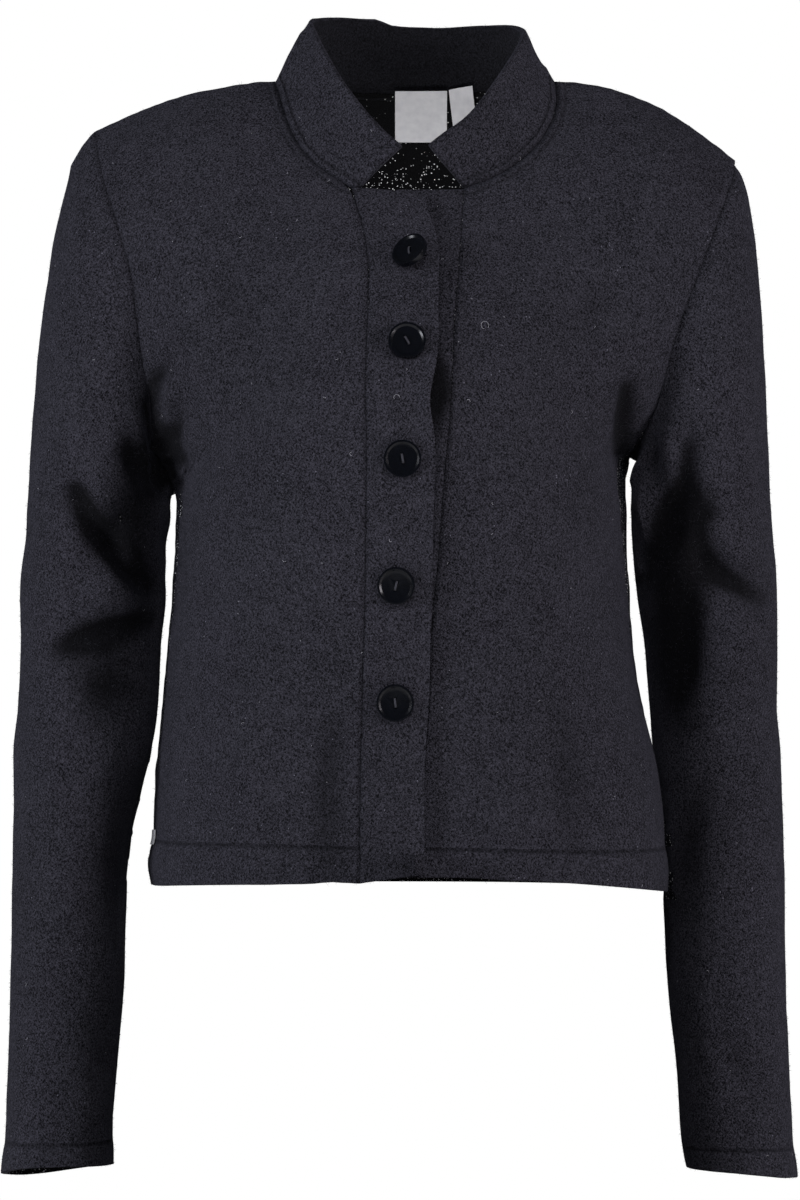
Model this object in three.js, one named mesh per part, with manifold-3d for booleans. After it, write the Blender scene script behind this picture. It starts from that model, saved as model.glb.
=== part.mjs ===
// Short stand-collar jacket of felted wool knit, filled out as if worn, with nobody in it.
// Millimetres, +Z up, the front faces -Y, the wearer's right hand is towards -X.
// The origin lies midway between the shoulders at the base of the neck.
import * as THREE from "three";
import Module from "manifold-3d";

const wasm = await Module();
wasm.setup();

// Driving sizes
const CLOTH = 2.2; // one layer of felted knit
const DOUBLE = 4.4; // folded double: collar, placket, underlap, turned-up hems
const SEAM = 0.3; // clear space between two pieces at a seam
const PLACKET_PROUD = 0.7; // the placket stands proud of the front it is sewn to
const LAYER = DOUBLE + 0.4; // from the placket's face back to the underlap's face
const BUTTON_D = 22;
const BUTTON_T = 3.6;
const BUTTON_HOLE_D = 1.9;
const BUTTON_HOLE_PITCH = 5.2;
const BUTTONHOLE = [20, 3.2]; // the slit: length across, height
const SHANK_D = 2.2;
const LABEL_T = 0.8;

// Rows of every body panel: hem to underarm, then underarm to shoulder
const LOW_ROWS = [0, 0.012, 0.045, 0.085, 0.097, 0.15, 0.22, 0.3, 0.38, 0.46, 0.54, 0.63, 0.72, 0.82, 0.91, 1];
const ARM_ROWS = 14;
const FRONT_COLS = 10;
const BACK_COLS = 10; // each half of the back
const HEM_ROW = 3; // the turned-up hem ends at this row
const HEM_SHARE = 0.15; // the rows up to this share keep their height at the side seam
const SIDE_SPAN = { right: 292.6, left: 275.4 }; // side length that the hem rows are shares of
const UNDERARM_LEVEL = { right: -192, left: -212 }; // height at the opening of the underarm's row
const FRONT_HEM = { right: -479, left: -475.5 }; // height of the hem beside the opening
const FRONT_CORNER = 7; // armhole row that meets the corner of placket and neck
const BACK_CORNER = 9; // armhole row that meets the centre of the back neck

// Side seams: z, x, y
const SIDE_RIGHT = {
  names: ["z", "x", "y"],
  rows: [
    [-484.6, -159.9, 0],
    [-479, -161.4, 0],
    [-470, -162.6, 0],
    [-461, -160.4, 0],
    [-457, -158.9, 0],
    [-433, -157.9, 1],
    [-405, -156.0, 1],
    [-376, -152.9, 2],
    [-350, -150.6, 2],
    [-319, -147.6, 2],
    [-296, -145.8, 3],
    [-268, -144.6, 3],
    [-256, -144.6, 4],
    [-247, -144.7, 5],
  ],
};
const SIDE_LEFT = {
  names: ["z", "x", "y"],
  rows: [
    [-487.5, 153.2, -26],
    [-480, 154.3, -26],
    [-468, 153.2, -25],
    [-461, 151.6, -24],
    [-455, 151.0, -23],
    [-440, 149.5, -21],
    [-426, 148.2, -19],
    [-407, 145.2, -15],
    [-393, 141.3, -11],
    [-371, 135.6, -7],
    [-350, 132.4, -4],
    [-326, 129.6, -2],
    [-302, 128.9, 0],
    [-277, 128.3, 2],
    [-256, 128.4, 3],
    [-240, 128.9, 4],
    [-226, 129.8, 4],
  ],
};

// Edges of the front opening: z, right front's seam, placket's free edge, left front's seam, front depth
const OPENING = {
  names: ["z", "seam", "edge", "under", "y"],
  rows: [
    [-479, -32.6, 5.6, 0.4, -116.0],
    [-454, -32.9, 5.6, 1.5, -115.0],
    [-430, -32.7, 5.6, 2.6, -114.0],
    [-400, -31.8, 6.2, 4.6, -114.0],
    [-370, -30.9, 8.3, 6.6, -115.0],
    [-340, -30.5, 9.1, 8.6, -116.3],
    [-310, -29.4, 10.0, 11.0, -118.0],
    [-280, -28.9, 10.4, 14.0, -121.0],
    [-250, -28.5, 11.2, 16.1, -124.0],
    [-220, -28.4, 13.1, 18.9, -123.5],
    [-200, -29.0, 9.4, 21.0, -120.8],
    [-180, -29.2, 11.1, 21.9, -116.5],
    [-165, -28.7, 14.6, 22.3, -111.5],
    [-150, -28.2, 14.6, 22.9, -105.6],
    [-135, -27.7, 12.8, 24.1, -98.8],
    [-120, -27.6, 13.4, 25.5, -91.5],
    [-108, -28.0, 15.7, 26.3, -84.8],
    [-95, -29.6, 14.6, 27.3, -76.5],
    [-85, -32.2, 9.2, 28.0, -69.5],
    [-75, -35.6, 6.1, 28.8, -62.0],
    [-66, -37.9, 5.0, 29.4, -55.6],
  ],
};

// Line down the centre of the back: z, x, y
const CENTRE_BACK = {
  names: ["z", "x", "y"],
  rows: [
    [-487, -5, 106],
    [-470, -5, 107],
    [-461, -5, 106],
    [-430, -5, 104.5],
    [-380, -6, 100],
    [-330, -7, 97],
    [-280, -7, 98.5],
    [-230, -6, 103],
    [-190, -4, 106],
    [-150, -2.5, 106.5],
    [-110, -1.5, 102],
    [-75, -0.5, 93.5],
    [-45, 0, 81],
    [-20, 0, 66.5],
    [-1, 0.5, 53.5],
  ],
};

// Armhole seams from the underarm up the front to the shoulder tip, and on down the back: x, y, z
const ARMHOLE = {
  right: {
    front: [
      [-144.7, 5, -247.0],
      [-145.4, -6, -244.8],
      [-147.4, -18, -237.5],
      [-151.2, -30, -224.5],
      [-156.0, -38, -207.5],
      [-160.0, -42.5, -187.0],
      [-163.2, -44, -169.5],
      [-165.6, -44.6, -152.5],
      [-167.2, -46, -137.0],
      [-169.0, -45.5, -121.4],
      [-174.1, -42, -101.5],
      [-179.9, -36, -83.1],
      [-185.3, -28, -66.4],
      [-191.4, -12.5, -42.6],
      [-193.1, 2, -28.3],
    ],
    back: [
      [-193.1, 2, -28.3],
      [-192.2, 17, -37.0],
      [-187.5, 33, -57.0],
      [-181.0, 44, -81.0],
      [-175.5, 50, -106.0],
      [-170.5, 49, -135.0],
      [-165.5, 47, -165.0],
      [-159.0, 40, -195.0],
      [-151.0, 27, -227.0],
      [-146.0, 14, -243.0],
      [-144.7, 5, -247.0],
    ],
  },
  left: {
    front: [
      [129.8, 4, -226.0],
      [131.0, -6, -224.2],
      [134.2, -18, -219.0],
      [139.2, -29, -210.5],
      [144.8, -38, -198.0],
      [148.4, -42.5, -184.5],
      [151.6, -45, -170.5],
      [156.4, -47, -152.5],
      [162.2, -46.5, -136.0],
      [169.6, -43, -117.1],
      [176.7, -38, -99.0],
      [183.6, -30.5, -80.7],
      [190.0, -20.5, -62.8],
      [193.6, -11, -53.4],
      [194.2, 0, -46.0],
    ],
    back: [
      [194.2, 0, -46.0],
      [192.8, 17, -53.0],
      [186.5, 34, -72.0],
      [177.5, 46, -97.0],
      [168.5, 51, -126.0],
      [161.0, 49, -157.0],
      [153.0, 43, -187.0],
      [141.6, 29, -212.0],
      [133.4, 15, -223.2],
      [129.8, 4, -226.0],
    ],
  },
};

// Neck seam: from the placket corner round to the shoulder, and from the shoulder to the centre back
const NECK = {
  right: {
    front: [
      [-37.9, -55.6, -66.0],
      [-47.2, -50.5, -60.2],
      [-58.7, -44, -51.9],
      [-68.4, -36, -41.8],
      [-75.6, -26, -28.2],
      [-79.8, -16, -14.5],
      [-82.4, -8, -4.0],
      [-84.7, -2, 1.7],
    ],
    back: [
      [0.5, 53.5, -1],
      [-28, 51, -0.6],
      [-54, 42, 0.2],
      [-73, 26.5, 1.2],
      [-82.5, 10, 2],
      [-84.7, -2, 1.7],
    ],
  },
  left: {
    front: [
      [29.4, -49.6, -66.0],
      [40.5, -48.4, -62.2],
      [54.9, -44.8, -55.2],
      [67.4, -38, -45.5],
      [78.6, -27, -32.0],
      [84.2, -18, -19.8],
      [85.8, -10, -8.5],
      [85.3, -2, 1.7],
    ],
    back: [
      [0.5, 53.5, -1],
      [29, 51, -0.6],
      [55, 42, 0.2],
      [74, 26.5, 1.2],
      [83.6, 10, 2],
      [85.3, -2, 1.7],
    ],
  },
};

// Shape of a panel's rows. level: 0 hem, 1 underarm, 2 shoulder. The row leaves its inner end at
// angle start and meets its outer end at angle end (degrees from straight across), with handles
// that are shares of the row's length. flat is 1 where it leaves level, rise bows it upwards and
// dip lets it sag before its outer end.
const FRONT_ROWS = {
  names: ["level", "hold0", "start", "hold1", "end", "flat", "rise", "dip"],
  rows: [
    [0, 0.46, 1, 0.42, 90, 1, 0, 0],
    [0.5, 0.46, 2, 0.41, 90, 1, 0, 0],
    [0.85, 0.45, 3, 0.38, 88, 1, 0, 1],
    [1, 0.45, 3, 0.35, 84, 1, 0, 6],
    [1.12, 0.42, 3, 0.31, 72, 1, 0, 7],
    [1.3, 0.38, 0, 0.3, 60, 1, 0, 3],
    [1.5, 0.35, -7, 0.3, 44, 0.6, 1, 0],
    [1.7, 0.33, -11, 0.3, 30, 0.2, 4, 0],
    [1.88, 0.33, -5, 0.3, 14, 0, 8, 0],
    [2, 0.33, 0, 0.33, 0, 0, 9, 0],
  ],
};
const BACK_ROWS = {
  names: ["level", "hold0", "start", "hold1", "end", "flat", "rise", "dip"],
  rows: [
    [0, 0.45, 0, 0.42, 90, 1, 0, 0],
    [0.5, 0.45, 0, 0.41, 90, 1, 0, 0],
    [0.85, 0.45, 0, 0.38, 88, 1, 0, 1],
    [1, 0.44, 0, 0.35, 84, 1, 0, 6],
    [1.15, 0.42, 0, 0.31, 72, 1, 0, 7],
    [1.35, 0.38, 0, 0.3, 56, 1, 0, 2],
    [1.55, 0.36, 0, 0.3, 40, 1, 0, 0],
    [1.65, 0.33, 0, 0.3, 32, 1, 2, 0],
    [1.8, 0.33, 4, 0.3, 20, 0.3, 5, 0],
    [1.9, 0.33, 2, 0.3, 10, 0, 8, 0],
    [2, 0.33, 0, 0.33, 0, 0, 9, 0],
  ],
};

// Sleeve sections below the cap: z, outer x, inner x, middle y, depth
const SLEEVE_TOP = { right: -272, left: -262 };
const ARM_SECTIONS = {
  right: {
    names: ["z", "outer", "inner", "mid", "deep"],
    rows: [
      [-262, -233.6, -147.6, 6, 116],
      [-272, -235.0, -149.4, 6, 113],
      [-282, -236.4, -151.0, 5, 110],
      [-300, -239.2, -150.0, 4, 106],
      [-314, -239.7, -150.6, 4, 103],
      [-330, -239.1, -152.4, 3, 101],
      [-352, -239.0, -153.9, 2, 99],
      [-374, -239.2, -154.6, 1, 97],
      [-389, -240.2, -156.4, 0, 96],
      [-404, -243.0, -159.2, -1, 95],
      [-420, -242.2, -162.4, -2, 94],
      [-440, -242.5, -168.0, -3, 92],
      [-462, -242.7, -171.6, -5, 90],
      [-500, -243.8, -173.9, -9, 87],
      [-548, -244.4, -175.6, -13, 84],
      [-585, -245.3, -179.2, -16, 81],
      [-618, -246.2, -181.2, -18, 79],
      [-638, -247.0, -181.6, -20, 79],
      [-645, -248.6, -181.2, -20, 80],
      [-657, -249.4, -180.8, -21, 81],
    ],
  },
  left: {
    names: ["z", "outer", "inner", "mid", "deep"],
    rows: [
      [-262, 216.0, 131.2, 6, 116],
      [-282, 217.8, 131.6, 7, 110],
      [-300, 219.2, 133.2, 8, 106],
      [-320, 220.0, 135.8, 9, 103],
      [-345, 220.0, 139.6, 11, 100],
      [-374, 220.0, 142.0, 14, 97],
      [-389, 220.9, 143.0, 16, 95],
      [-405, 223.2, 144.6, 18, 94],
      [-430, 223.4, 147.6, 20, 92],
      [-465, 224.6, 150.6, 20, 89],
      [-500, 225.0, 151.4, 16, 87],
      [-540, 225.3, 152.6, 10, 84],
      [-570, 226.0, 155.6, 5, 82],
      [-600, 226.8, 158.8, 1, 80],
      [-622, 227.4, 159.8, -2, 79],
      [-640, 228.6, 161.0, -4, 79],
      [-647, 230.4, 161.8, -4, 80],
      [-661, 231.6, 164.4, -5, 81],
    ],
  },
};
const CAP_REACH = { right: 28, left: 15 }; // how far the cap stands out over the shoulder tip
const CAP_ROWS = 9;
const ARM_ROWS_Z = {
  right: [-281, -290, -300, -311, -323, -336, -350, -366, -384, -404, -426, -452, -484, -520, -560, -600, -637, -639, -648, -657],
  left: [-274, -286, -298, -310, -322, -335, -350, -366, -384, -404, -426, -452, -484, -520, -560, -600, -641, -643, -652, -661],
};
// The cuff's edge: height of its middle, and how far it falls to the outside, to the back, and to both
const CUFF_EDGE = {
  right: { z: -654.5, out: 2.6, back: 4.6, both: 2 },
  left: { z: -658, out: 2.8, back: 2, both: 0 },
};
const CUFF_ROW = 17; // the turned-up cuff starts at this arm row

// Sleeve folds. turn: 0 towards the body, 90 front, 180 outside, 270 back. Height z, slant from
// upright towards the outside, half length and half width, and depth (minus is a ridge).
const SLEEVE_FOLDS = {
  names: ["turn", "z", "slant", "long", "wide", "deep"],
  right: [
    [76, -274, -38, 46, 10, 7],
    [58, -334, 70, 40, 10, 5],
    [30, -238, -30, 26, 8, 4],
    [62, -306, 20, 24, 16, -5],
    [34, -222, -10, 26, 11, -6],
    [100, -395, 60, 30, 16, -2],
    [285, -330, 62, 44, 12, 6],
    [262, -290, 40, 40, 13, 4],
    [305, -300, 20, 30, 14, -3],
    [170, -392, 80, 26, 9, -2],
    [240, -430, 75, 34, 16, 2],
  ],
  left: [
    [48, -252, -18, 40, 8, 5],
    [32, -256, -14, 40, 7, -4],
    [30, -236, -6, 24, 11, -6],
    [98, -288, 38, 46, 17, 4],
    [128, -306, 62, 26, 8, 4],
    [70, -385, 60, 40, 18, 2],
    [286, -318, 62, 42, 12, 6],
    [258, -276, 40, 38, 13, 4],
    [304, -290, 20, 30, 14, -3],
    [236, -420, 75, 34, 16, 2],
  ],
};

// Body folds: place across the panel (0 inner edge, 1 outer edge), height z, slant, half length,
// half width, depth
const BODY_FOLDS = {
  names: ["across", "z", "slant", "long", "wide", "deep"],
  front_right: [
    [0.83, -206, 6, 20, 8, 5],
    [0.93, -190, 20, 22, 9, -4],
    [0.2, -425, 2, 75, 14, 3.2],
    [0.55, -452, -4, 60, 22, 2],
    [0.62, -176, 50, 34, 16, -2],
  ],
  front_left: [
    [0.84, -206, 4, 30, 8, 6],
    [0.92, -186, -16, 26, 9, -4],
    [0.5, -440, 4, 70, 24, 2],
    [0.22, -400, 0, 90, 16, -2],
    [0.6, -180, -50, 34, 16, -2],
  ],
  back: [
    [0.36, -400, 3, 110, 22, 3.5],
    [0.68, -380, -4, 100, 20, 3],
    [0.5, -330, 0, 60, 34, 2],
    [0.14, -215, -14, 44, 12, 4],
    [0.86, -225, 14, 44, 12, 4],
    [0.24, -440, 0, 60, 20, -3],
    [0.79, -436, 0, 60, 20, -3],
  ],
};

// Top edge of the collar from the right tip round the back to the left tip
const COLLAR_TOP = [
  [-7.6, -60, -41.0],
  [-16.4, -56.5, -33.4],
  [-25.4, -51.5, -24.3],
  [-34.8, -44.5, -12.2],
  [-43.4, -36, -0.4],
  [-51.6, -25, 13.8],
  [-58.4, -13, 26.5],
  [-64.4, 4, 40.3],
  [-61.4, 19, 43.0],
  [-48, 33, 43.2],
  [-25, 45.5, 41.4],
  [2, 49, 38.4],
  [28, 46, 38.6],
  [50, 35, 39.2],
  [64.8, 18, 37.2],
  [67.8, 4, 32.6],
  [63.8, -10.5, 24.3],
  [58.6, -22.5, 15.2],
  [50.8, -34, 3.2],
  [41.2, -44.5, -11.6],
  [32.4, -51.5, -22.8],
  [20.6, -56.5, -31.0],
  [8.0, -60, -41.0],
];
const COLLAR_KNOTS = [7, 11, 15]; // its points above the right shoulder, centre back, left shoulder
const COLLAR_COLS = 4;
const COLLAR_OVER = 0.55; // how far the collar runs over the first quarter of the placket's top

// Buttons down the placket: x, z, turn about the upright and about the level line (degrees), and
// how far the turned disc's centre stands off the placket
const BUTTONS = {
  names: ["x", "z", "yaw", "pitch", "off"],
  rows: [
    [-2.6, -108.1, -27, -4, 4],
    [-5.0, -160.3, 2, 3, 0.9],
    [-7.6, -229.1, 0, 1, 0.45],
    [-11.1, -303.4, -2, 0, 0.6],
    [-11.7, -372.3, 1, 0, 0.45],
  ],
};

// Labels on the inside of the back: across (mm from the centre), z of the top, size, slant,
// and how far its top stands clear in front of the collar's seam
const NECK_LABEL = { x: 4, top: -0.2, wide: 33, tall: 33, slant: 0, clear: 3.9 };
const SIZE_LABEL = { x: 29, top: 1.4, wide: 15, tall: 25, slant: 8, clear: 2.2 };
const SIDE_LABEL = { z: -455, tall: 9, wide: 9, from: 21 }; // from: distance to the side seam

const v3 = (p) => new THREE.Vector3(p[0], p[1], p[2]);
const clamp = (x, a, b) => Math.min(b, Math.max(a, x));
const rad = (d) => (d * Math.PI) / 180;
const mix = (a, b, t) => a + (b - a) * t;

// Smooth curve through (xs, ys) that never overshoots a row of the table
function monotone(xs, ys) {
  const n = xs.length;
  const slope = [];
  for (let i = 0; i < n - 1; i++) slope.push((ys[i + 1] - ys[i]) / (xs[i + 1] - xs[i]));
  const tan = [slope[0]];
  for (let i = 1; i < n - 1; i++) {
    const a = slope[i - 1];
    const b = slope[i];
    const h0 = xs[i] - xs[i - 1];
    const h1 = xs[i + 1] - xs[i];
    tan.push(a * b <= 0 ? 0 : (3 * (h0 + h1)) / ((2 * h1 + h0) / a + (h1 + 2 * h0) / b));
  }
  tan.push(slope[n - 2]);
  return (x) => {
    const q = clamp(x, xs[0], xs[n - 1]);
    let i = 0;
    while (i < n - 2 && q > xs[i + 1]) i++;
    const h = xs[i + 1] - xs[i];
    const t = (q - xs[i]) / h;
    const a = 2 * t ** 3 - 3 * t ** 2 + 1;
    const b = t ** 3 - 2 * t ** 2 + t;
    const c = -2 * t ** 3 + 3 * t ** 2;
    const d = t ** 3 - t ** 2;
    return a * ys[i] + b * h * tan[i] + c * ys[i + 1] + d * h * tan[i + 1];
  };
}

// A table read as functions of its first column
function tabled(table) {
  const rows = [...table.rows].sort((a, b) => a[0] - b[0]);
  const out = {};
  const keys = rows.map((r) => r[0]);
  for (let c = 1; c < table.names.length; c++) {
    out[table.names[c]] = monotone(keys, rows.map((r) => r[c]));
  }
  return out;
}

// Smooth space curve through points, read by share of its length
function threaded(points) {
  const curve = new THREE.CatmullRomCurve3(points.map(v3), false, "centripetal");
  curve.arcLengthDivisions = 400;
  return (s) => curve.getPointAt(clamp(s, 0, 1));
}

function bezier(a, b, c, d, t) {
  const s = 1 - t;
  return a.clone().multiplyScalar(s ** 3)
    .addScaledVector(b, 3 * s * s * t)
    .addScaledVector(c, 3 * s * t * t)
    .addScaledVector(d, t ** 3);
}

// One row of a panel from its inner end to its outer end
function panelRow(inner, outer, shape, hand, face, cols) {
  const reach = inner.distanceTo(outer);
  const a = rad(shape.start);
  const b = rad(shape.end);
  const dz = (outer.z - inner.z) / 3;
  const p1 = new THREE.Vector3(
    inner.x + hand * Math.cos(a) * shape.hold0 * reach,
    inner.y + face * Math.sin(a) * shape.hold0 * reach,
    inner.z + dz * (1 - shape.flat) + shape.rise,
  );
  const p2 = new THREE.Vector3(
    outer.x - hand * Math.cos(b) * shape.hold1 * reach,
    outer.y - face * Math.sin(b) * shape.hold1 * reach,
    outer.z - dz * (1 - 0.5 * shape.flat) + shape.rise - shape.dip,
  );
  const row = [];
  for (let i = 0; i <= cols; i++) row.push(bezier(inner, p1, p2, outer, i / cols));
  return row;
}

const opening = tabled(OPENING);
const centreBack = tabled(CENTRE_BACK);
const side = { right: tabled(SIDE_RIGHT), left: tabled(SIDE_LEFT) };
const frontShape = tabled(FRONT_ROWS);
const backShape = tabled(BACK_ROWS);
const SHOULDER_BOW = { right: 1, left: 1.75 }; // how much more one shoulder line is bowed
const shapeAt = (t, level, hand) => ({
  hold0: t.hold0(level),
  start: t.start(level),
  hold1: t.hold1(level),
  end: t.end(level),
  flat: t.flat(level),
  rise: t.rise(level) * SHOULDER_BOW[hand],
  dip: t.dip(level),
});
const armFront = { right: threaded(ARMHOLE.right.front), left: threaded(ARMHOLE.left.front) };
const armBack = { right: threaded(ARMHOLE.right.back), left: threaded(ARMHOLE.left.back) };
const neckFront = { right: threaded(NECK.right.front), left: threaded(NECK.left.front) };
const neckBack = { right: threaded(NECK.right.back), left: threaded(NECK.left.back) };

// The hem's rows keep their heights; the rows above them share what is left of the side seam
function sidePoint(hand, share) {
  const rows = hand === "right" ? SIDE_RIGHT.rows : SIDE_LEFT.rows;
  const hemTop = rows[0][0] + HEM_SHARE * SIDE_SPAN[hand];
  const z = share < HEM_SHARE
    ? rows[0][0] + share * SIDE_SPAN[hand]
    : mix(hemTop, rows[rows.length - 1][0], (share - HEM_SHARE) / (1 - HEM_SHARE));
  return new THREE.Vector3(side[hand].x(z), side[hand].y(z), z);
}

// Front face of the placket, or of the underlap so far behind it, measured square to the face
function openingPoint(edge, z, behind) {
  const slope = (opening.y(z + 3) - opening.y(z - 3)) / 6;
  return new THREE.Vector3(opening[edge](z), opening.y(z) + behind * Math.hypot(1, slope), z);
}

// A front panel: rows of points from the opening to the side seam and the armhole
function frontPanel(hand) {
  const edge = hand === "right" ? "seam" : "under";
  const behind = hand === "right" ? 0 : LAYER;
  const way = hand === "right" ? -1 : 1;
  const hemZ = FRONT_HEM[hand];
  const armZ = UNDERARM_LEVEL[hand];
  const topZ = OPENING.rows[OPENING.rows.length - 1][0];
  const rows = [];
  LOW_ROWS.forEach((share) => {
    const inner = openingPoint(edge, mix(hemZ, armZ + 2, share), behind);
    rows.push(panelRow(inner, sidePoint(hand, share), shapeAt(frontShape, share, hand), way, 1, FRONT_COLS));
  });
  for (let i = 1; i <= ARM_ROWS; i++) {
    const outer = armFront[hand](i / ARM_ROWS);
    let inner;
    if (i <= FRONT_CORNER) {
      const z = mix(armZ + 2, topZ, i / FRONT_CORNER);
      inner = openingPoint(edge, z, behind);
      if (i === FRONT_CORNER) inner = neckFront[hand](0);
    } else {
      inner = neckFront[hand]((i - FRONT_CORNER) / (ARM_ROWS - FRONT_CORNER));
    }
    const level = 1 + i / ARM_ROWS;
    rows.push(panelRow(inner, outer, shapeAt(frontShape, level, hand), way, 1, FRONT_COLS));
  }
  return rows;
}

// Half of the back: rows of points from the centre line to the side seam and the armhole
function backHalf(hand) {
  const way = hand === "right" ? -1 : 1;
  const hemZ = CENTRE_BACK.rows[0][0];
  const topZ = CENTRE_BACK.rows[CENTRE_BACK.rows.length - 1][0];
  const armZ = -200;
  const centre = (z) => new THREE.Vector3(centreBack.x(z), centreBack.y(z), z);
  const rows = [];
  LOW_ROWS.forEach((share) => {
    const inner = centre(mix(hemZ, armZ, share));
    rows.push(panelRow(inner, sidePoint(hand, share), shapeAt(backShape, share, hand), way, -1, BACK_COLS));
  });
  for (let i = 1; i <= ARM_ROWS; i++) {
    const outer = armBack[hand](1 - i / ARM_ROWS);
    const inner = i <= BACK_CORNER
      ? centre(mix(armZ, topZ, i / BACK_CORNER))
      : neckBack[hand]((i - BACK_CORNER) / (ARM_ROWS - BACK_CORNER));
    const level = 1 + i / ARM_ROWS;
    rows.push(panelRow(inner, outer, shapeAt(backShape, level, hand), way, -1, BACK_COLS));
  }
  return rows;
}

// A soft trough (or ridge) across a surface measured in millimetres
function foldDepth(rows, names, s, z, scale) {
  let sum = 0;
  for (const r of rows) {
    const f = Object.fromEntries(names.map((n, i) => [n, r[i]]));
    const place = f.turn === undefined ? f.across : f.turn;
    const ds = (s - place) * scale;
    const dz = z - f.z;
    const a = rad(f.slant);
    const along = ds * Math.sin(a) + dz * Math.cos(a);
    const across = ds * Math.cos(a) - dz * Math.sin(a);
    sum += f.deep * Math.exp(-((across / f.wide) ** 2)) * Math.exp(-((along / f.long) ** 2) * 1.6);
  }
  return sum;
}

// Points are welded by place, so that two pieces share one normal along their seam
const normals = new Map();
const cell = (x) => Math.round(x * 40 + 0.1234);
const keyOf = (p) => `${cell(p.x)},${cell(p.y)},${cell(p.z)}`;

function quadsOf(rows, ring) {
  const cols = rows[0].length;
  const quads = [];
  for (let j = 0; j < rows.length - 1; j++) {
    for (let i = 0; i < (ring ? cols : cols - 1); i++) {
      const k = (i + 1) % cols;
      quads.push([j * cols + i, j * cols + k, (j + 1) * cols + k, (j + 1) * cols + i]);
    }
  }
  return quads;
}

// A sheet: points, quads turned to face away from a line up the middle of what it wraps
function sheet(points, quads, middle) {
  let vote = 0;
  for (const q of quads) {
    const [a, b, c, d] = q.map((k) => points[k]);
    const n = c.clone().sub(a).cross(d.clone().sub(b));
    const m = a.clone().add(c).multiplyScalar(0.5);
    vote += n.dot(m.clone().sub(middle(m)));
  }
  return { points, quads: vote < 0 ? quads.map((q) => [...q].reverse()) : quads };
}

function addNormals(s) {
  for (const q of s.quads) {
    const [a, b, c, d] = q.map((k) => s.points[k]);
    const n = c.clone().sub(a).cross(d.clone().sub(b)).multiplyScalar(0.5);
    for (const k of q) {
      const key = keyOf(s.points[k]);
      if (!normals.has(key)) normals.set(key, new THREE.Vector3());
      normals.get(key).add(n);
    }
  }
}

const normalAt = (p) => normals.get(keyOf(p)).clone().normalize();

// A closed wall from a sheet: thick(k) inwards, lift outwards, open edges drawn back half a seam
function wall(s, thick, lift = 0) {
  const { points, quads } = s;
  const used = new Set(quads.flat());
  const edges = new Map();
  const inwards = new Map();
  for (const q of quads) {
    for (let i = 0; i < 4; i++) {
      const a = q[i];
      const b = q[(i + 1) % 4];
      if (a === b) continue;
      if (edges.has(`${b}_${a}`)) edges.delete(`${b}_${a}`);
      else edges.set(`${a}_${b}`, { a, b, c: q[(i + 2) % 4], d: q[(i + 3) % 4] });
    }
  }
  for (const { a, b, c, d } of edges.values()) {
    const along = points[b].clone().sub(points[a]).normalize();
    for (const [p, o] of [[a, d], [b, c]]) {
      const dir = points[o].clone().sub(points[p]);
      dir.addScaledVector(along, -dir.dot(along));
      if (dir.lengthSq() < 1e-9) continue;
      if (!inwards.has(p)) inwards.set(p, []);
      inwards.get(p).push(dir.normalize());
    }
  }
  const outer = new Map();
  const inner = new Map();
  const verts = [];
  const put = (p) => verts.push(p.x, p.y, p.z) / 3 - 1;
  for (const k of used) {
    const p = points[k].clone();
    for (const dir of inwards.get(k) || []) {
      const n = inwards.get(k).length;
      const bent = n === 2 && inwards.get(k)[0].dot(inwards.get(k)[1]) > 0.7;
      p.addScaledVector(dir, bent ? SEAM / 4 : SEAM / 2);
    }
    const n = normalAt(points[k]);
    outer.set(k, put(p.clone().addScaledVector(n, lift)));
    inner.set(k, put(p.clone().addScaledVector(n, lift - thick(k))));
  }
  const tris = [];
  const quad = (a, b, c, d) => {
    if (a !== b && b !== c && c !== a) tris.push(a, b, c);
    if (a !== c && c !== d && d !== a) tris.push(a, c, d);
  };
  for (const [a, b, c, d] of quads) {
    quad(outer.get(a), outer.get(b), outer.get(c), outer.get(d));
    quad(inner.get(d), inner.get(c), inner.get(b), inner.get(a));
  }
  // Neighbours split the face along their shared seam the same way
  for (const { a, b } of edges.values()) {
    if (keyOf(points[a]) < keyOf(points[b])) quad(outer.get(b), outer.get(a), inner.get(a), inner.get(b));
    else quad(outer.get(a), inner.get(a), inner.get(b), outer.get(b));
  }
  return { verts, tris };
}

function geometryOf({ verts, tris }) {
  const g = new THREE.BufferGeometry();
  g.setAttribute("position", new THREE.Float32BufferAttribute(verts, 3));
  g.setIndex(tris);
  return g;
}

function solidOf({ verts, tris }) {
  return new wasm.Manifold(new wasm.Mesh({
    numProp: 3,
    vertProperties: new Float32Array(verts),
    triVerts: new Uint32Array(tris),
  }));
}

function ofSolid(solid) {
  const m = solid.getMesh();
  const verts = [];
  for (let i = 0; i < m.vertProperties.length; i += m.numProp) {
    verts.push(m.vertProperties[i], m.vertProperties[i + 1], m.vertProperties[i + 2]);
  }
  return { verts, tris: Array.from(m.triVerts) };
}

// Folds pressed into a sheet along its normals, fading out at its edges
function pressed(rows, ring, fold, fade) {
  const flat = rows.flat();
  const s = sheet(flat, quadsOf(rows, ring), fold.middle);
  const own = flat.map(() => new THREE.Vector3());
  for (const q of s.quads) {
    const [a, b, c, d] = q.map((k) => flat[k]);
    const n = c.clone().sub(a).cross(d.clone().sub(b));
    for (const k of q) own[k].add(n);
  }
  const cols = rows[0].length;
  return rows.map((row, j) => row.map((p, i) => {
    const n = own[j * cols + i].normalize();
    return p.clone().addScaledVector(n, -fold.deep(p, j, i) * fade(j, i));
  }));
}

const bodyMiddle = (m) => new THREE.Vector3(clamp(m.x, -60, 60), clamp(m.y, -30, 30), m.z - 20);

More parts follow.
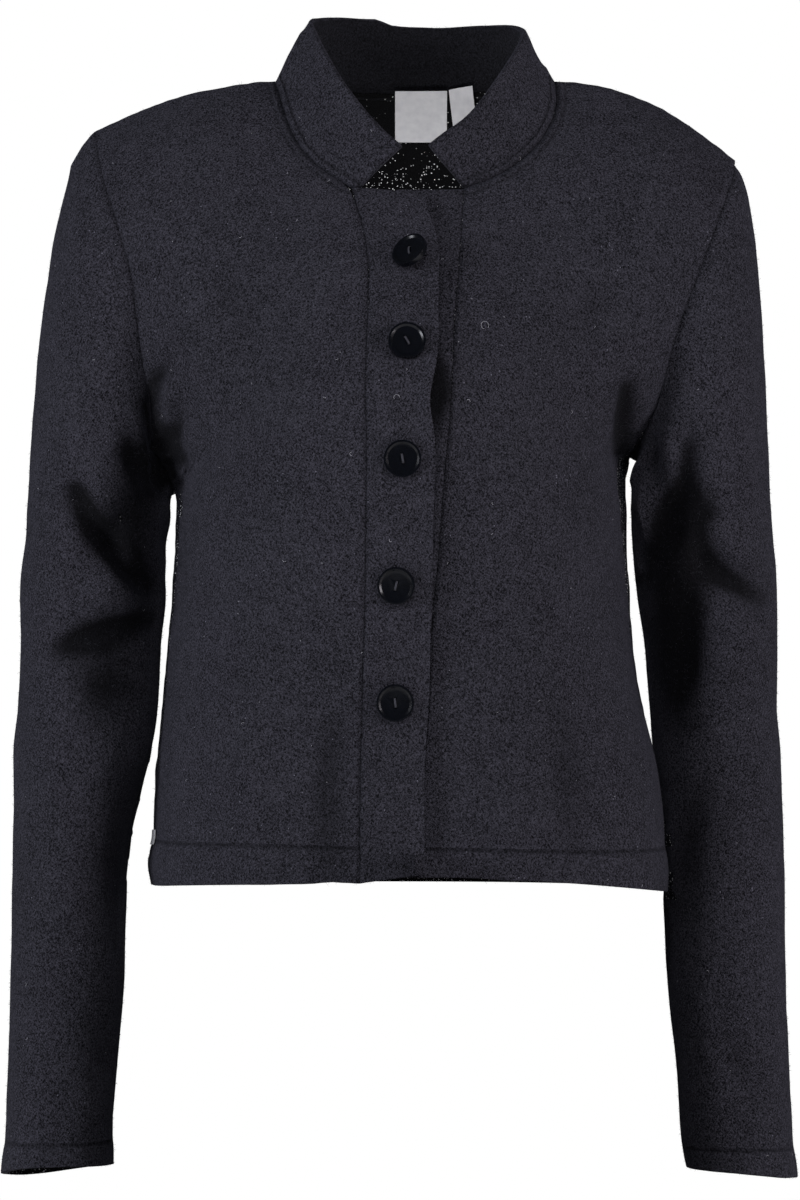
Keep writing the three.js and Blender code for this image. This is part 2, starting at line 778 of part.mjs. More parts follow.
// Body panels
const lowCount = LOW_ROWS.length;
const lastRow = lowCount + ARM_ROWS - 1;
const edgeFade = (cols) => (j, i) => {
  const u = Math.min(i / cols, 1 - i / cols);
  const v = Math.min(1, (lastRow - j) / 3);
  return clamp(u * 8, 0, 1) * clamp(v, 0, 1);
};

function front(hand) {
  const raw = frontPanel(hand);
  const folds = BODY_FOLDS[hand === "right" ? "front_right" : "front_left"];
  const fold = {
    middle: bodyMiddle,
    deep: (p, j, i) => foldDepth(folds, BODY_FOLDS.names, i / FRONT_COLS, p.z, 165),
  };
  return pressed(raw, false, fold, edgeFade(FRONT_COLS));
}

const frontRows = { right: front("right"), left: front("left") };

// The back: rows right across up to the neck, then one wing each side of it
function backSheet() {
  const halves = { right: backHalf("right"), left: backHalf("left") };
  const cols = 2 * BACK_COLS;
  const full = halves.right.map((row, j) => [...row].reverse().concat(halves.left[j].slice(1)));
  const fold = {
    middle: bodyMiddle,
    deep: (p, j, i) => foldDepth(BODY_FOLDS.back, BODY_FOLDS.names, i / cols, p.z, 330),
  };
  const neckRow = lowCount + BACK_CORNER - 1;
  const lower = full.slice(0, neckRow + 1);
  const fade = (j, i) => clamp(Math.min(i, cols - i) / 2.5, 0, 1) * clamp((neckRow - j) / 4, 0, 1);
  const soft = pressed(lower, false, fold, fade);
  const points = soft.flat();
  const quads = quadsOf(soft, false);
  for (const hand of ["right", "left"]) {
    let below = [];
    for (let i = 0; i <= BACK_COLS; i++) {
      const c = hand === "right" ? BACK_COLS - i : BACK_COLS + i;
      below.push(neckRow * (cols + 1) + c);
    }
    for (let j = neckRow + 1; j <= lastRow; j++) {
      const here = halves[hand][j].map((p) => points.push(p) - 1);
      for (let i = 0; i < BACK_COLS; i++) {
        const q = [below[i], below[i + 1], here[i + 1], here[i]];
        quads.push(hand === "right" ? q.reverse() : q);
      }
      below = here;
    }
  }
  return { halves, soft, sheet: sheet(points, quads, bodyMiddle), cols, neckRow };
}

const back = backSheet();

// A sleeve: rings from the armhole seam over the cap and down to the cuff
function sleeveRings(hand) {
  const way = hand === "right" ? -1 : 1;
  const count = 2 * ARM_ROWS;
  const table = tabled(ARM_SECTIONS[hand]);
  const seam = [];
  for (let i = 0; i < count; i++) {
    seam.push(i <= ARM_ROWS ? armFront[hand](i / ARM_ROWS) : armBack[hand](i / ARM_ROWS - 1));
  }
  // Where round the arm each seam point goes: even steps, a little closer at the underarm
  const turnOf = (i) => {
    const t = i / count;
    return 2 * Math.PI * t - 0.1 * Math.sin(2 * Math.PI * t);
  };
  const section = (z, i) => {
    const a = turnOf(i);
    const wide = (table.outer(z) - table.inner(z)) / 2;
    const mid = (table.outer(z) + table.inner(z)) / 2;
    const c = Math.cos(a);
    const s = Math.sin(a);
    const square = 1 + 0.045 * Math.sin(2 * a) ** 2;
    return new THREE.Vector3(
      mid - wide * c * square,
      table.mid(z) - (table.deep(z) / 2) * s * square,
      z,
    );
  };
  const rings = [seam];
  for (let j = 1; j <= CAP_ROWS; j++) {
    const t = j / CAP_ROWS;
    rings.push(seam.map((p, i) => {
      const end = section(SLEEVE_TOP[hand], i);
      const a = turnOf(i);
      const top = (1 - Math.cos(a)) / 2;
      const out = new THREE.Vector3(way * mix(0.5, 0.86, top), -0.22 * Math.sin(a), mix(-0.85, -0.5, top));
      const c1 = p.clone().addScaledVector(out.normalize(), mix(11, CAP_REACH[hand], top));
      const c2 = end.clone();
      c2.z += (p.z - end.z) * mix(0.5, 0.56, top);
      c2.x -= way * 4;
      return bezier(p, c1, c2, end, t);
    }));
  }
  const last = ARM_ROWS_Z[hand][ARM_ROWS_Z[hand].length - 1];
  for (const z of ARM_ROWS_Z[hand]) {
    rings.push(seam.map((p, i) => {
      const q = section(z, i);
      const cuff = clamp((-600 - z) / 45, 0, 1);
      const edge = CUFF_EDGE[hand];
      const o = -Math.cos(turnOf(i));
      const b = -Math.sin(turnOf(i));
      q.z += cuff * (edge.z - last - edge.out * o - edge.back * b - edge.both * o * b);
      return q;
    }));
  }
  const middle = (m) => {
    const z = clamp(m.z, -661, SLEEVE_TOP[hand]);
    return new THREE.Vector3((table.outer(z) + table.inner(z)) / 2, table.mid(z), m.z - 10);
  };
  const folds = SLEEVE_FOLDS[hand];
  const fold = {
    middle,
    deep: (p, j, i) => foldDepth(folds, SLEEVE_FOLDS.names, (turnOf(i) * 180) / Math.PI, p.z, 0.8),
  };
  const ringCount = CAP_ROWS + ARM_ROWS_Z[hand].length;
  const soft = pressed(rings, true, fold, (j) => clamp(j / 3, 0, 1) * clamp((ringCount - j) / 4, 0, 1));
  return { rows: soft, middle };
}

const sleeve = { right: sleeveRings("right"), left: sleeveRings("left") };

// Placket and underlap: straight double bands beside the two fronts
const BAND_COLS = 4;
const UNDERLAP_WIDE = 41;
function bandRows(hand) {
  const last = lowCount + FRONT_CORNER - 1;
  return frontRows[hand].slice(0, last + 1).map((panel, j) => {
    const from = panel[0];
    const row = [];
    for (let i = 0; i <= BAND_COLS; i++) {
      const u = i / BAND_COLS;
      if (hand === "right") {
        const foot = clamp((FRONT_HEM.right + 60 - from.z) / 60, 0, 1);
        const dip = j === last ? -4.6 * u ** 1.5 : 5.5 * u * foot;
        const x = mix(from.x, opening.edge(from.z), u);
        const p = new THREE.Vector3(x, from.y - 1.4 * Math.sin(Math.PI * u * 0.9), from.z + dip);
        if (j === last) p.y = opening.y(p.z) - 1.4 * Math.sin(Math.PI * u * 0.9);
        row.push(i === 0 ? from.clone() : p);
      } else {
        const p = openingPoint("under", from.z, LAYER + 0.5 * u);
        row.push(i === 0 ? from.clone() : new THREE.Vector3(from.x - UNDERLAP_WIDE * u, p.y, p.z));
      }
    }
    return row;
  });
}
const bands = { right: bandRows("right"), left: bandRows("left") };

// The collar: its seam runs over the placket, both fronts and the back, in the points they have
function collarRows() {
  const placketTop = bands.right[bands.right.length - 1];
  const seamPoints = [placketTop[0].clone().lerp(placketTop[1], COLLAR_OVER)];
  const marks = [];
  for (let j = FRONT_CORNER; j <= ARM_ROWS; j++) seamPoints.push(frontRows.right[lowCount + j - 1][0].clone());
  marks.push(seamPoints.length - 1);
  for (let j = ARM_ROWS - 1; j >= BACK_CORNER; j--) seamPoints.push(back.halves.right[lowCount + j - 1][0].clone());
  marks.push(seamPoints.length - 1);
  for (let j = BACK_CORNER + 1; j <= ARM_ROWS; j++) seamPoints.push(back.halves.left[lowCount + j - 1][0].clone());
  marks.push(seamPoints.length - 1);
  for (let j = ARM_ROWS - 1; j >= FRONT_CORNER; j--) seamPoints.push(frontRows.left[lowCount + j - 1][0].clone());
  marks.push(seamPoints.length - 1);
  // Length along the seam, knot by knot, set against length along the top edge
  const run = [0];
  for (let i = 1; i < seamPoints.length; i++) run.push(run[i - 1] + seamPoints[i].distanceTo(seamPoints[i - 1]));
  const topCurve = new THREE.CatmullRomCurve3(COLLAR_TOP.map(v3), false, "centripetal");
  const knotT = [0, ...COLLAR_KNOTS.map((k) => k / (COLLAR_TOP.length - 1)), 1];
  const knotS = [0, ...marks.map((k) => run[k])];
  const rows = seamPoints.map((p, i) => {
    let g = 0;
    while (g < 3 && run[i] > knotS[g + 1]) g++;
    const share = (run[i] - knotS[g]) / (knotS[g + 1] - knotS[g]);
    const t = topCurve.getPoint(mix(knotT[g], knotT[g + 1], share));
    const centre = new THREE.Vector3(0, 0, p.z);
    const out = p.clone().sub(centre).setZ(0).normalize();
    const full = p.x < 0 ? 2.2 : 0;
    const c1 = p.clone().lerp(t, 0.33).addScaledVector(out, full - 0.8);
    const c2 = p.clone().lerp(t, 0.7).addScaledVector(out, full);
    const row = [];
    for (let c = 0; c <= COLLAR_COLS; c++) row.push(bezier(p, c1, c2, t, c / COLLAR_COLS));
    return row;
  });
  return { rows };
}
const collar = collarRows();
const neckMiddle = (m) => new THREE.Vector3(clamp(m.x, -20, 20), clamp(m.y, -10, 10), m.z - 20);

const sheets = {
  back: back.sheet,
  front_right: sheet(frontRows.right.flat(), quadsOf(frontRows.right, false), bodyMiddle),
  front_left: sheet(frontRows.left.flat(), quadsOf(frontRows.left, false), bodyMiddle),
  sleeve_right: sheet(sleeve.right.rows.flat(), quadsOf(sleeve.right.rows, true), sleeve.right.middle),
  sleeve_left: sheet(sleeve.left.rows.flat(), quadsOf(sleeve.left.rows, true), sleeve.left.middle),
  collar: sheet(collar.rows.flat(), quadsOf(collar.rows, false), neckMiddle),
  placket_right: sheet(bands.right.flat(), quadsOf(bands.right, false), bodyMiddle),
  placket_left: sheet(bands.left.flat(), quadsOf(bands.left, false), bodyMiddle),
};
Object.values(sheets).forEach(addNormals);

const hemmed = (cols) => (k) => (Math.floor(k / cols) <= HEM_ROW ? DOUBLE : CLOTH);
const cuffed = (k) => (Math.floor(k / (2 * ARM_ROWS)) > CAP_ROWS + CUFF_ROW ? DOUBLE : CLOTH);
const walls = {
  back: wall(sheets.back, (k) => (k < (HEM_ROW + 1) * (back.cols + 1) ? DOUBLE : CLOTH)),
  front_right: wall(sheets.front_right, hemmed(FRONT_COLS + 1)),
  front_left: wall(sheets.front_left, hemmed(FRONT_COLS + 1)),
  sleeve_right: wall(sheets.sleeve_right, cuffed),
  sleeve_left: wall(sheets.sleeve_left, cuffed),
  collar: wall(sheets.collar, () => DOUBLE),
  placket_left: wall(sheets.placket_left, () => DOUBLE),
};

// A closed solid of revolution about Z from a profile of (radius, height) pairs, both ends at radius 0
function turned(profile, segments) {
  const verts = [];
  const tris = [];
  const ringAt = [];
  profile.forEach(([r, z]) => {
    ringAt.push(verts.length / 3);
    if (r === 0) verts.push(0, 0, z);
    else for (let i = 0; i < segments; i++) {
      const a = (2 * Math.PI * i) / segments;
      verts.push(r * Math.cos(a), r * Math.sin(a), z);
    }
  });
  for (let j = 0; j < profile.length - 1; j++) {
    for (let i = 0; i < segments; i++) {
      const k = (i + 1) % segments;
      const a = profile[j][0] === 0 ? ringAt[j] : ringAt[j] + i;
      const b = profile[j][0] === 0 ? ringAt[j] : ringAt[j] + k;
      const c = profile[j + 1][0] === 0 ? ringAt[j + 1] : ringAt[j + 1] + k;
      const d = profile[j + 1][0] === 0 ? ringAt[j + 1] : ringAt[j + 1] + i;
      if (a !== b) tris.push(a, b, c);
      if (c !== d) tris.push(a, c, d);
    }
  }
  return { verts, tris };
}

// Places a solid made about Z so that its Z points along an axis, at a place, turned about itself
function placed(raw, at, axis, spin = 0) {
  const z = axis.clone().normalize();
  const x = new THREE.Vector3(1, 0, 0).addScaledVector(z, -z.x).normalize();
  const y = z.clone().cross(x);
  const verts = [];
  for (let i = 0; i < raw.verts.length; i += 3) {
    const q = new THREE.Vector3(raw.verts[i], raw.verts[i + 1], raw.verts[i + 2]);
    q.applyAxisAngle(new THREE.Vector3(0, 0, 1), rad(spin));
    const p = at.clone().addScaledVector(x, q.x).addScaledVector(y, q.y).addScaledVector(z, q.z);
    verts.push(p.x, p.y, p.z);
  }
  return { verts, tris: raw.tris };
}

// Buttons: a dished disc with a raised rim and two holes, on a thread shank through the slit
function buttonSolid() {
  const r = BUTTON_D / 2;
  const body = solidOf(turned([
    [0, 0],
    [r * 0.86, 0],
    [r, BUTTON_T * 0.42],
    [r * 0.97, BUTTON_T * 0.85],
    [r * 0.87, BUTTON_T],
    [r * 0.76, BUTTON_T * 0.9],
    [r * 0.62, BUTTON_T * 0.58],
    [0, BUTTON_T * 0.5],
  ], 24));
  const hole = (y) => solidOf(placed(
    turned([[0, -1], [BUTTON_HOLE_D / 2, -1], [BUTTON_HOLE_D / 2, BUTTON_T + 1], [0, BUTTON_T + 1]], 8),
    new THREE.Vector3(0, y, 0),
    new THREE.Vector3(0, 0, 1),
  ));
  return body.subtract(hole(BUTTON_HOLE_PITCH / 2)).subtract(hole(-BUTTON_HOLE_PITCH / 2));
}

const buttonBody = buttonSolid();
const slits = [];
const buttons = BUTTONS.rows.map(([x, z, yaw, pitch, off]) => {
  const face = placketFace(x, z);
  const axis = face.normal.clone()
    .applyAxisAngle(new THREE.Vector3(0, 0, 1), rad(yaw))
    .applyAxisAngle(new THREE.Vector3(1, 0, 0), rad(pitch));
  const seat = face.point.clone().addScaledVector(face.normal, PLACKET_PROUD + off);
  const base = seat.clone().addScaledVector(face.normal, -(PLACKET_PROUD + off) - LAYER - 1.1);
  const down = base.clone().sub(seat);
  const shank = turned([
    [0, -0.6],
    [SHANK_D / 2, -0.6],
    [SHANK_D / 2, down.length()],
    [0, down.length()],
  ], 8);
  const slit = turned([[0, -4], [1, -4], [1, 12], [0, 12]], 4);
  for (let i = 0; i < slit.verts.length; i += 3) {
    slit.verts[i] *= BUTTONHOLE[0] / Math.SQRT2 / Math.SQRT2;
    slit.verts[i + 1] *= BUTTONHOLE[1] / Math.SQRT2;
  }
  slits.push(solidOf(placed(slit, seat, down)));
  return ofSolid(solidOf(placed(ofSolid(buttonBody), seat, axis)).add(solidOf(placed(shank, seat, down))));
});

// The face of the placket at a place on it, from its own sheet
function placketFace(x, z) {
  const rows = bands.right;
  let best = null;
  for (let j = 0; j < rows.length - 1; j++) {
    for (let i = 0; i < BAND_COLS; i++) {
      const [a, b, c, d] = [rows[j][i], rows[j][i + 1], rows[j + 1][i + 1], rows[j + 1][i]];
      if (z < a.z || z > d.z) continue;
      const v = (z - a.z) / (d.z - a.z);
      const left = a.clone().lerp(d, v);
      const right = b.clone().lerp(c, v);
      if (x < left.x || x > right.x) continue;
      const u = (x - left.x) / (right.x - left.x);
      const slope = d.clone().sub(a).add(c.clone().sub(b));
      const across = right.clone().sub(left);
      best = { point: left.lerp(right, u), normal: across.cross(slope).normalize() };
    }
  }
  if (best.normal.y > 0) best.normal.negate();
  return best;
}

let placket = solidOf(wall(sheets.placket_right, () => DOUBLE, PLACKET_PROUD));
slits.forEach((s) => {
  placket = placket.subtract(s);
});
walls.placket_right = ofSolid(placket);

// A label that lies on a panel: points of the panel's own face, moved clear of it
function labelOn(pointAt, cols, rowsCount, gap) {
  const rows = [];
  for (let j = 0; j <= rowsCount; j++) {
    const row = [];
    for (let i = 0; i <= cols; i++) row.push(pointAt(i / cols, j / rowsCount));
    rows.push(row);
  }
  const near = rows.map((r) => r.map(({ p, n }) => p.clone().addScaledVector(n, gap)));
  const far = rows.map((r) => r.map(({ p, n }) => p.clone().addScaledVector(n, gap + LABEL_T)));
  const verts = [];
  [near, far].forEach((g) => g.flat().forEach((p) => verts.push(p.x, p.y, p.z)));
  const n = (cols + 1) * (rowsCount + 1);
  const tris = [];
  const quad = (a, b, c, d) => tris.push(a, b, c, a, c, d);
  const quads = quadsOf(rows, false);
  const edges = new Map();
  for (const [a, b, c, d] of quads) {
    quad(n + a, n + b, n + c, n + d);
    quad(d, c, b, a);
    [[a, b], [b, c], [c, d], [d, a]].forEach(([p, q]) => {
      if (edges.has(`${q}_${p}`)) edges.delete(`${q}_${p}`);
      else edges.set(`${p}_${q}`, [p, q]);
    });
  }
  for (const [a, b] of edges.values()) quad(n + b, n + a, a, b);
  const made = { verts, tris };
  if (solidOf(made).volume() < 0) for (let i = 0; i < tris.length; i += 3) [tris[i], tris[i + 1]] = [tris[i + 1], tris[i]];
  return made;
}

// Inner face of the back near its centre, by x and z
function backInside(x, z) {
  const y = centreBack.y(z);
  const slope = (centreBack.y(z + 2) - centreBack.y(z - 2)) / 4;
  const n = new THREE.Vector3(0, -1, slope).normalize();
  const curl = (x * x) / 210;
  const p = new THREE.Vector3(x, y - curl, z);
  n.x = -x / 105;
  return { p: p.addScaledVector(n.normalize(), CLOTH), n };
}

// A neck label hangs from the seam: level with the collar at its top, flat on the back below
function neckTag(tag) {
  return labelOn((u, v) => {
    const a = rad(tag.slant);
    const dx = (u - 0.5) * tag.wide;
    const dz = -v * tag.tall * 0.86;
    const x = tag.x + dx * Math.cos(a) - dz * Math.sin(a);
    const { p, n } = backInside(x, tag.top + dx * Math.sin(a) + dz * Math.cos(a));
    p.y -= tag.clear * (1 - v) ** 2;
    n.z *= v;
    return { p, n };
  }, 6, 5, 0.9);
}

// The side label lies on the right front, a little forward of its side seam
function sideTag() {
  const rows = frontRows.right;
  let j = 0;
  while (rows[j + 1][FRONT_COLS].z < SIDE_LABEL.z - SIDE_LABEL.tall / 2) j++;
  return labelOn((u, v) => {
    const z = SIDE_LABEL.z - SIDE_LABEL.tall * (v - 0.5);
    let k = j;
    while (rows[k + 1][FRONT_COLS].z < z) k++;
    const share = (z - rows[k][FRONT_COLS].z) / (rows[k + 1][FRONT_COLS].z - rows[k][FRONT_COLS].z);
    const at = (c) => rows[k][c].clone().lerp(rows[k + 1][c], share);
    let rest = SIDE_LABEL.from + u * SIDE_LABEL.wide;
    let c = FRONT_COLS;
    while (rest > at(c).distanceTo(at(c - 1))) {
      rest -= at(c).distanceTo(at(c - 1));
      c--;
    }
    const dir = at(c - 1).sub(at(c));
    const p = at(c).addScaledVector(dir.clone().normalize(), rest);
    const n = new THREE.Vector3(dir.y, -dir.x, 0).normalize();
    if (n.x > 0) n.negate();
    return { p, n };
  }, 3, 3, 0.5);
}

// Colours and finish
const WOOL = { color: 0x26272f, roughness: 0.95, metalness: 0 };
const WOOL_DOUBLE = { color: 0x292a33, roughness: 0.95, metalness: 0 };
const HORN = { color: 0x0c0d14, roughness: 0.22, metalness: 0 };
const SATIN = { color: 0xdcdfe2, roughness: 0.45, metalness: 0 };

const group = new THREE.Group();
group.name = "trachten_cardigan";
function add(name, raw, finish) {
  const mesh = new THREE.Mesh(geometryOf(raw), new THREE.MeshStandardMaterial(finish));
  mesh.geometry.computeVertexNormals();
  mesh.name = name;
  group.add(mesh);
}

add("back", walls.back, WOOL);
add("front_right", walls.front_right, WOOL);
add("front_left", walls.front_left, WOOL);
add("sleeve_right", walls.sleeve_right, WOOL);
add("sleeve_left", walls.sleeve_left, WOOL);
add("collar", walls.collar, WOOL_DOUBLE);
add("placket_right", walls.placket_right, WOOL_DOUBLE);
add("placket_left", walls.placket_left, WOOL_DOUBLE);
buttons.forEach((raw, i) => add(`button_${i + 1}`, raw, HORN));
add("neck_label", neckTag(NECK_LABEL), SATIN);
add("size_label", neckTag(SIZE_LABEL), SATIN);
add("side_label", sideTag(), SATIN);

export default group;
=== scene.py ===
# %% [markdown]
# # A traditional stand-collar cardigan in boiled wool
# The garment hangs filled out, as if it were worn, so each piece of cloth is a hollow shell.
# Everything is in metres. X runs across the garment, Y from its front to its back, Z upwards.
# The measured solids come first, because every later piece has to sit where they are.

# %% Load the measured frame
import bpy
import bmesh
import math
import random
import numpy as np
from mathutils import Matrix, Vector
from mathutils.bvhtree import BVHTree
from mathutils.kdtree import KDTree
from mathutils.noise import noise


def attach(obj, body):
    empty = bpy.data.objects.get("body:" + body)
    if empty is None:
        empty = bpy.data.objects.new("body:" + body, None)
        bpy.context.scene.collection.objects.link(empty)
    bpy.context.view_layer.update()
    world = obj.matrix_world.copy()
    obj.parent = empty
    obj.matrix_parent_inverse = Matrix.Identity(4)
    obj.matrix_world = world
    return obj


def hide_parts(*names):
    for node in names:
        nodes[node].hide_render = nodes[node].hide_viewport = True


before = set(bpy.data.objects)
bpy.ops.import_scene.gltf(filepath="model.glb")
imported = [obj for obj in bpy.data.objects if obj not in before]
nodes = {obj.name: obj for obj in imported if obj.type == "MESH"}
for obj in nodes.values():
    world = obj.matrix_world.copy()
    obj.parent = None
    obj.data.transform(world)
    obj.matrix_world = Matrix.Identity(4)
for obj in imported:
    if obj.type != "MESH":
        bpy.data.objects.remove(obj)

MM = 0.001
SHARP = math.radians(45)  # a corner of a cloth wall or a label is sharper than this
scene = bpy.context.scene
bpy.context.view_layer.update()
bpy.ops.object.select_all(action="DESELECT")

# %% [markdown]
# ## The camera
# A product photograph of a garment is taken level, from far away, with a long lens, so that
# the sleeves and the front are drawn nearly without perspective. Four metres and a long lens
# give that: the picture's height covers 726 mm of the garment.

# %% Camera
VIEW_DISTANCE = 4.0
VIEW_HEIGHT = 0.726
camera_data = bpy.data.cameras.new("camera")
camera_data.sensor_fit = "VERTICAL"
camera_data.sensor_height = 36.0
camera_data.lens = 36.0 * VIEW_DISTANCE / VIEW_HEIGHT
camera = bpy.data.objects.new("camera", camera_data)
camera.location = (-0.009, -VIEW_DISTANCE, -0.312)
camera.rotation_euler = (math.radians(90), 0, 0)
scene.collection.objects.link(camera)
scene.camera = camera
scene.view_settings.view_transform = "Standard"
print("lens:", round(camera_data.lens, 1), "mm")

# %% [markdown]
# ## Copying a cloth solid
# Each solid is a flat-sided shell made of triangles. Real wool has no hard corners, so a copy
# is merged, its triangles are joined to four-sided faces, and the corners of the wall are
# rounded a little. A row of small faces along each corner then keeps the seam lines straight
# when the Subdivision modifier smooths the rest. Sewn edges get a tight corner, and a folded
# edge gets a full round, as thick wool has where it is turned over.

# %% Helpers for cloth
CLOTH_NODES = ["back", "front_right", "front_left", "sleeve_right", "sleeve_left",
               "collar", "placket_right", "placket_left"]
DOUBLED = {"collar", "placket_right", "placket_left"}
LAID_TOGETHER = {("placket_right", "placket_left"), ("placket_left", "placket_right")}


def merged(node):
    """The solid's mesh as a bmesh, with its loose triangles joined."""
    bm = bmesh.new()
    bm.from_mesh(nodes[node].data)
    bmesh.ops.remove_doubles(bm, verts=bm.verts, dist=0.02 * MM)
    bmesh.ops.join_triangles(bm, faces=bm.faces, angle_face_threshold=math.radians(40),
                             angle_shape_threshold=math.radians(50))
    bm.normal_update()
    return bm


def tree_of(points):
    """A search tree that finds the nearest of the points."""
    tree = KDTree(len(points))
    for i, p in enumerate(points):
        tree.insert(p, i)
    tree.balance()
    return tree


raw = {name: merged(name) for name in CLOTH_NODES}
raw_trees = {name: tree_of([v.co for v in bm.verts]) for name, bm in raw.items()}


def along_edge(edge, pitch):
    """Points along an edge, no further apart than about one pitch."""
    a, b = (v.co for v in edge.verts)
    steps = max(1, int(edge.calc_length() / pitch))
    return [a.lerp(b, i / steps) for i in range(steps + 1)]


SEWN_REACH = 0.9 * MM


def sewn_to(name, other):
    """Corner edges of a piece that lie against another piece, as sampled points."""
    tree = raw_trees[other]
    close = {v.index for v in raw[name].verts if tree.find(v.co)[2] < SEWN_REACH}
    points = []
    edges = set()
    for e in raw[name].edges:
        a, b = e.verts
        if a.index in close and b.index in close and e.calc_face_angle(0) > SHARP:
            edges.add(e.index)
            points += along_edge(e, 1.0 * MM)
    return edges, points


seams = {}
for name in CLOTH_NODES:
    raw[name].verts.index_update()
    raw[name].edges.index_update()
for name in CLOTH_NODES:
    for other in CLOTH_NODES:
        if other != name and (name, other) not in LAID_TOGETHER:
            seams[name, other] = sewn_to(name, other)
print("seam samples:", sum(len(points) for _, points in seams.values()))


def sewn_edges(name):
    return {i for (piece, _), (edges, _) in seams.items() if piece == name for i in edges}


# %% [markdown]
# ## Which way is out
# Small lumps have to move both faces of the cloth together, or the wall would get thick and
# thin. So every point is moved along one shared direction: the average outward normal of the
# cloth around it. Neighbouring pieces read the same average, so their seams stay closed.

# %% Shared outward direction and soft unevenness
SMALL_FACE = 8e-6  # square metres; smaller faces are the wall's edges


def outward_samples():
    """Centres and normals of the faces on the outer side of the cloth."""
    places, normals = [], []
    for name, bm in raw.items():
        for f in bm.faces:
            c = f.calc_center_median()
            if name.startswith("sleeve"):
                side = -1 if name.endswith("right") else 1
                reach = min(1.0, max(0.0, (-c.z - 0.1) / 0.2))
                axis = Vector((side * (0.17 + 0.03 * reach), 0.0, min(c.z, -0.09)))
            else:
                axis = Vector((0.5 * c.x, 0.0, min(c.z, -0.06)))
            if f.normal.dot(c - axis) > 0 and f.calc_area() > SMALL_FACE:
                places.append(c)
                normals.append(np.array(f.normal))
    return places, normals


sample_places, sample_normals = outward_samples()
sample_tree = tree_of(sample_places)
SHARED_BY = 10  # samples that make up one average
SHARED_REACH = 14 * MM


def outward(p):
    """The shared outward direction at a point."""
    total = np.zeros(3)
    for _, index, distance in sample_tree.find_n(p, SHARED_BY):
        total += sample_normals[index] * math.exp(-(distance / SHARED_REACH) ** 2)
    length = np.linalg.norm(total)
    return total / length if length > 0 else total


def unevenness(p):
    """How far felted cloth stands off its smooth form here, in metres."""
    broad = noise(Vector((p.x * 22, p.y * 22, p.z * 14 + 3.1)))
    small = noise(Vector((p.x * 60 + 9.0, p.y * 60, p.z * 46)))
    fine = noise(Vector((p.x * 150, p.y * 150 + 5.0, p.z * 120)))
    return (0.9 * broad + 0.45 * small + 0.16 * fine) * MM


def polyline_reach(x, z, points):
    """Distance to a drawn line, signed by the side of it, and how far along it that is."""
    best = (1e9, 0.0, 0.0)
    for i in range(len(points) - 1):
        (x0, z0), (x1, z1) = points[i], points[i + 1]
        dx, dz = x1 - x0, z1 - z0
        t = min(1.0, max(0.0, ((x - x0) * dx + (z - z0) * dz) / (dx * dx + dz * dz)))
        gap = math.hypot(x - x0 - t * dx, z - z0 - t * dz)
        if gap < best[0]:
            side = 1.0 if (x - x0) * dz - (z - z0) * dx > 0 else -1.0
            best = (gap, side, (i + t) / (len(points) - 1))
    return best


# Creases in millimetres: the line each follows, half width on its two sides, and depth.
# A negative depth is a ridge. The first list is seen from the front.
FRONT_CREASES = [
    ([(-155, -178), (-158.5, -200), (-154, -215), (-144, -229)], 5, 8, 7.0),
    ([(-149, -187), (-143, -203)], 7, 7, -4.5),
    ([(-141, -197), (-142.5, -207), (-147, -217)], 4, 5, 5.0),
    ([(-152, -219), (-148, -240)], 6, 5, 4.5),
    ([(-170, -222), (-157, -240)], 9, 12, 6.0),
    ([(-203, -247), (-191, -269), (-171, -289), (-158, -303)], 9, 7, 8.0),
    ([(-198, -300), (-178, -310)], 12, 10, -3.5),
    ([(-160, -324), (-197, -333), (-214, -340)], 7, 10, 6.0),
    ([(-181, -352), (-186, -378)], 24, 20, 4.8),
    ([(-160, -246), (-170, -274), (-164, -300)], 19, 18, 4.6),
    ([(-166, -420), (-176, -470), (-172, -520)], 14, 10, 3.8),
    ([(-215, -455), (-206, -500)], 10, 14, -2.0),
    ([(-192, -570), (-178, -600)], 9, 11, 2.2),
    ([(128, -186), (124, -222)], 6, 6, 6.5),
    ([(152, -212), (151, -240)], 6, 6, -3.4),
    ([(142, -220), (140, -236)], 5, 5, 3.4),
    ([(168, -262), (162, -300), (160, -350)], 24, 18, 4.5),
    ([(161, -220), (156, -247), (146, -268), (138, -298)], 8, 10, 5.4),
    ([(166, -258), (170, -270)], 16, 14, 3.5),
    ([(182, -272), (205, -294)], 9, 7, -3.5),
    ([(174, -292), (208, -311)], 7, 9, 6.0),
    ([(156, -320), (158, -386)], 18, 14, 4.6),
    ([(196, -336), (190, -362)], 15, 12, -3.0),
    ([(168, -430), (160, -500)], 12, 14, 3.6),
    ([(188, -575), (200, -606)], 10, 9, 2.0),
    ([(-51, -384), (-54, -430), (-50, -482)], 10, 12, 3.2),
    ([(-98, -405), (-92, -470)], 15, 12, -2.2),
    ([(88, -380), (95, -462)], 14, 17, 2.4),
    ([(55, -420), (57, -480)], 12, 10, -1.8),
    ([(-118, -120), (-96, -150)], 18, 14, 1.8),
    ([(112, -128), (92, -158)], 16, 18, 1.8),
]
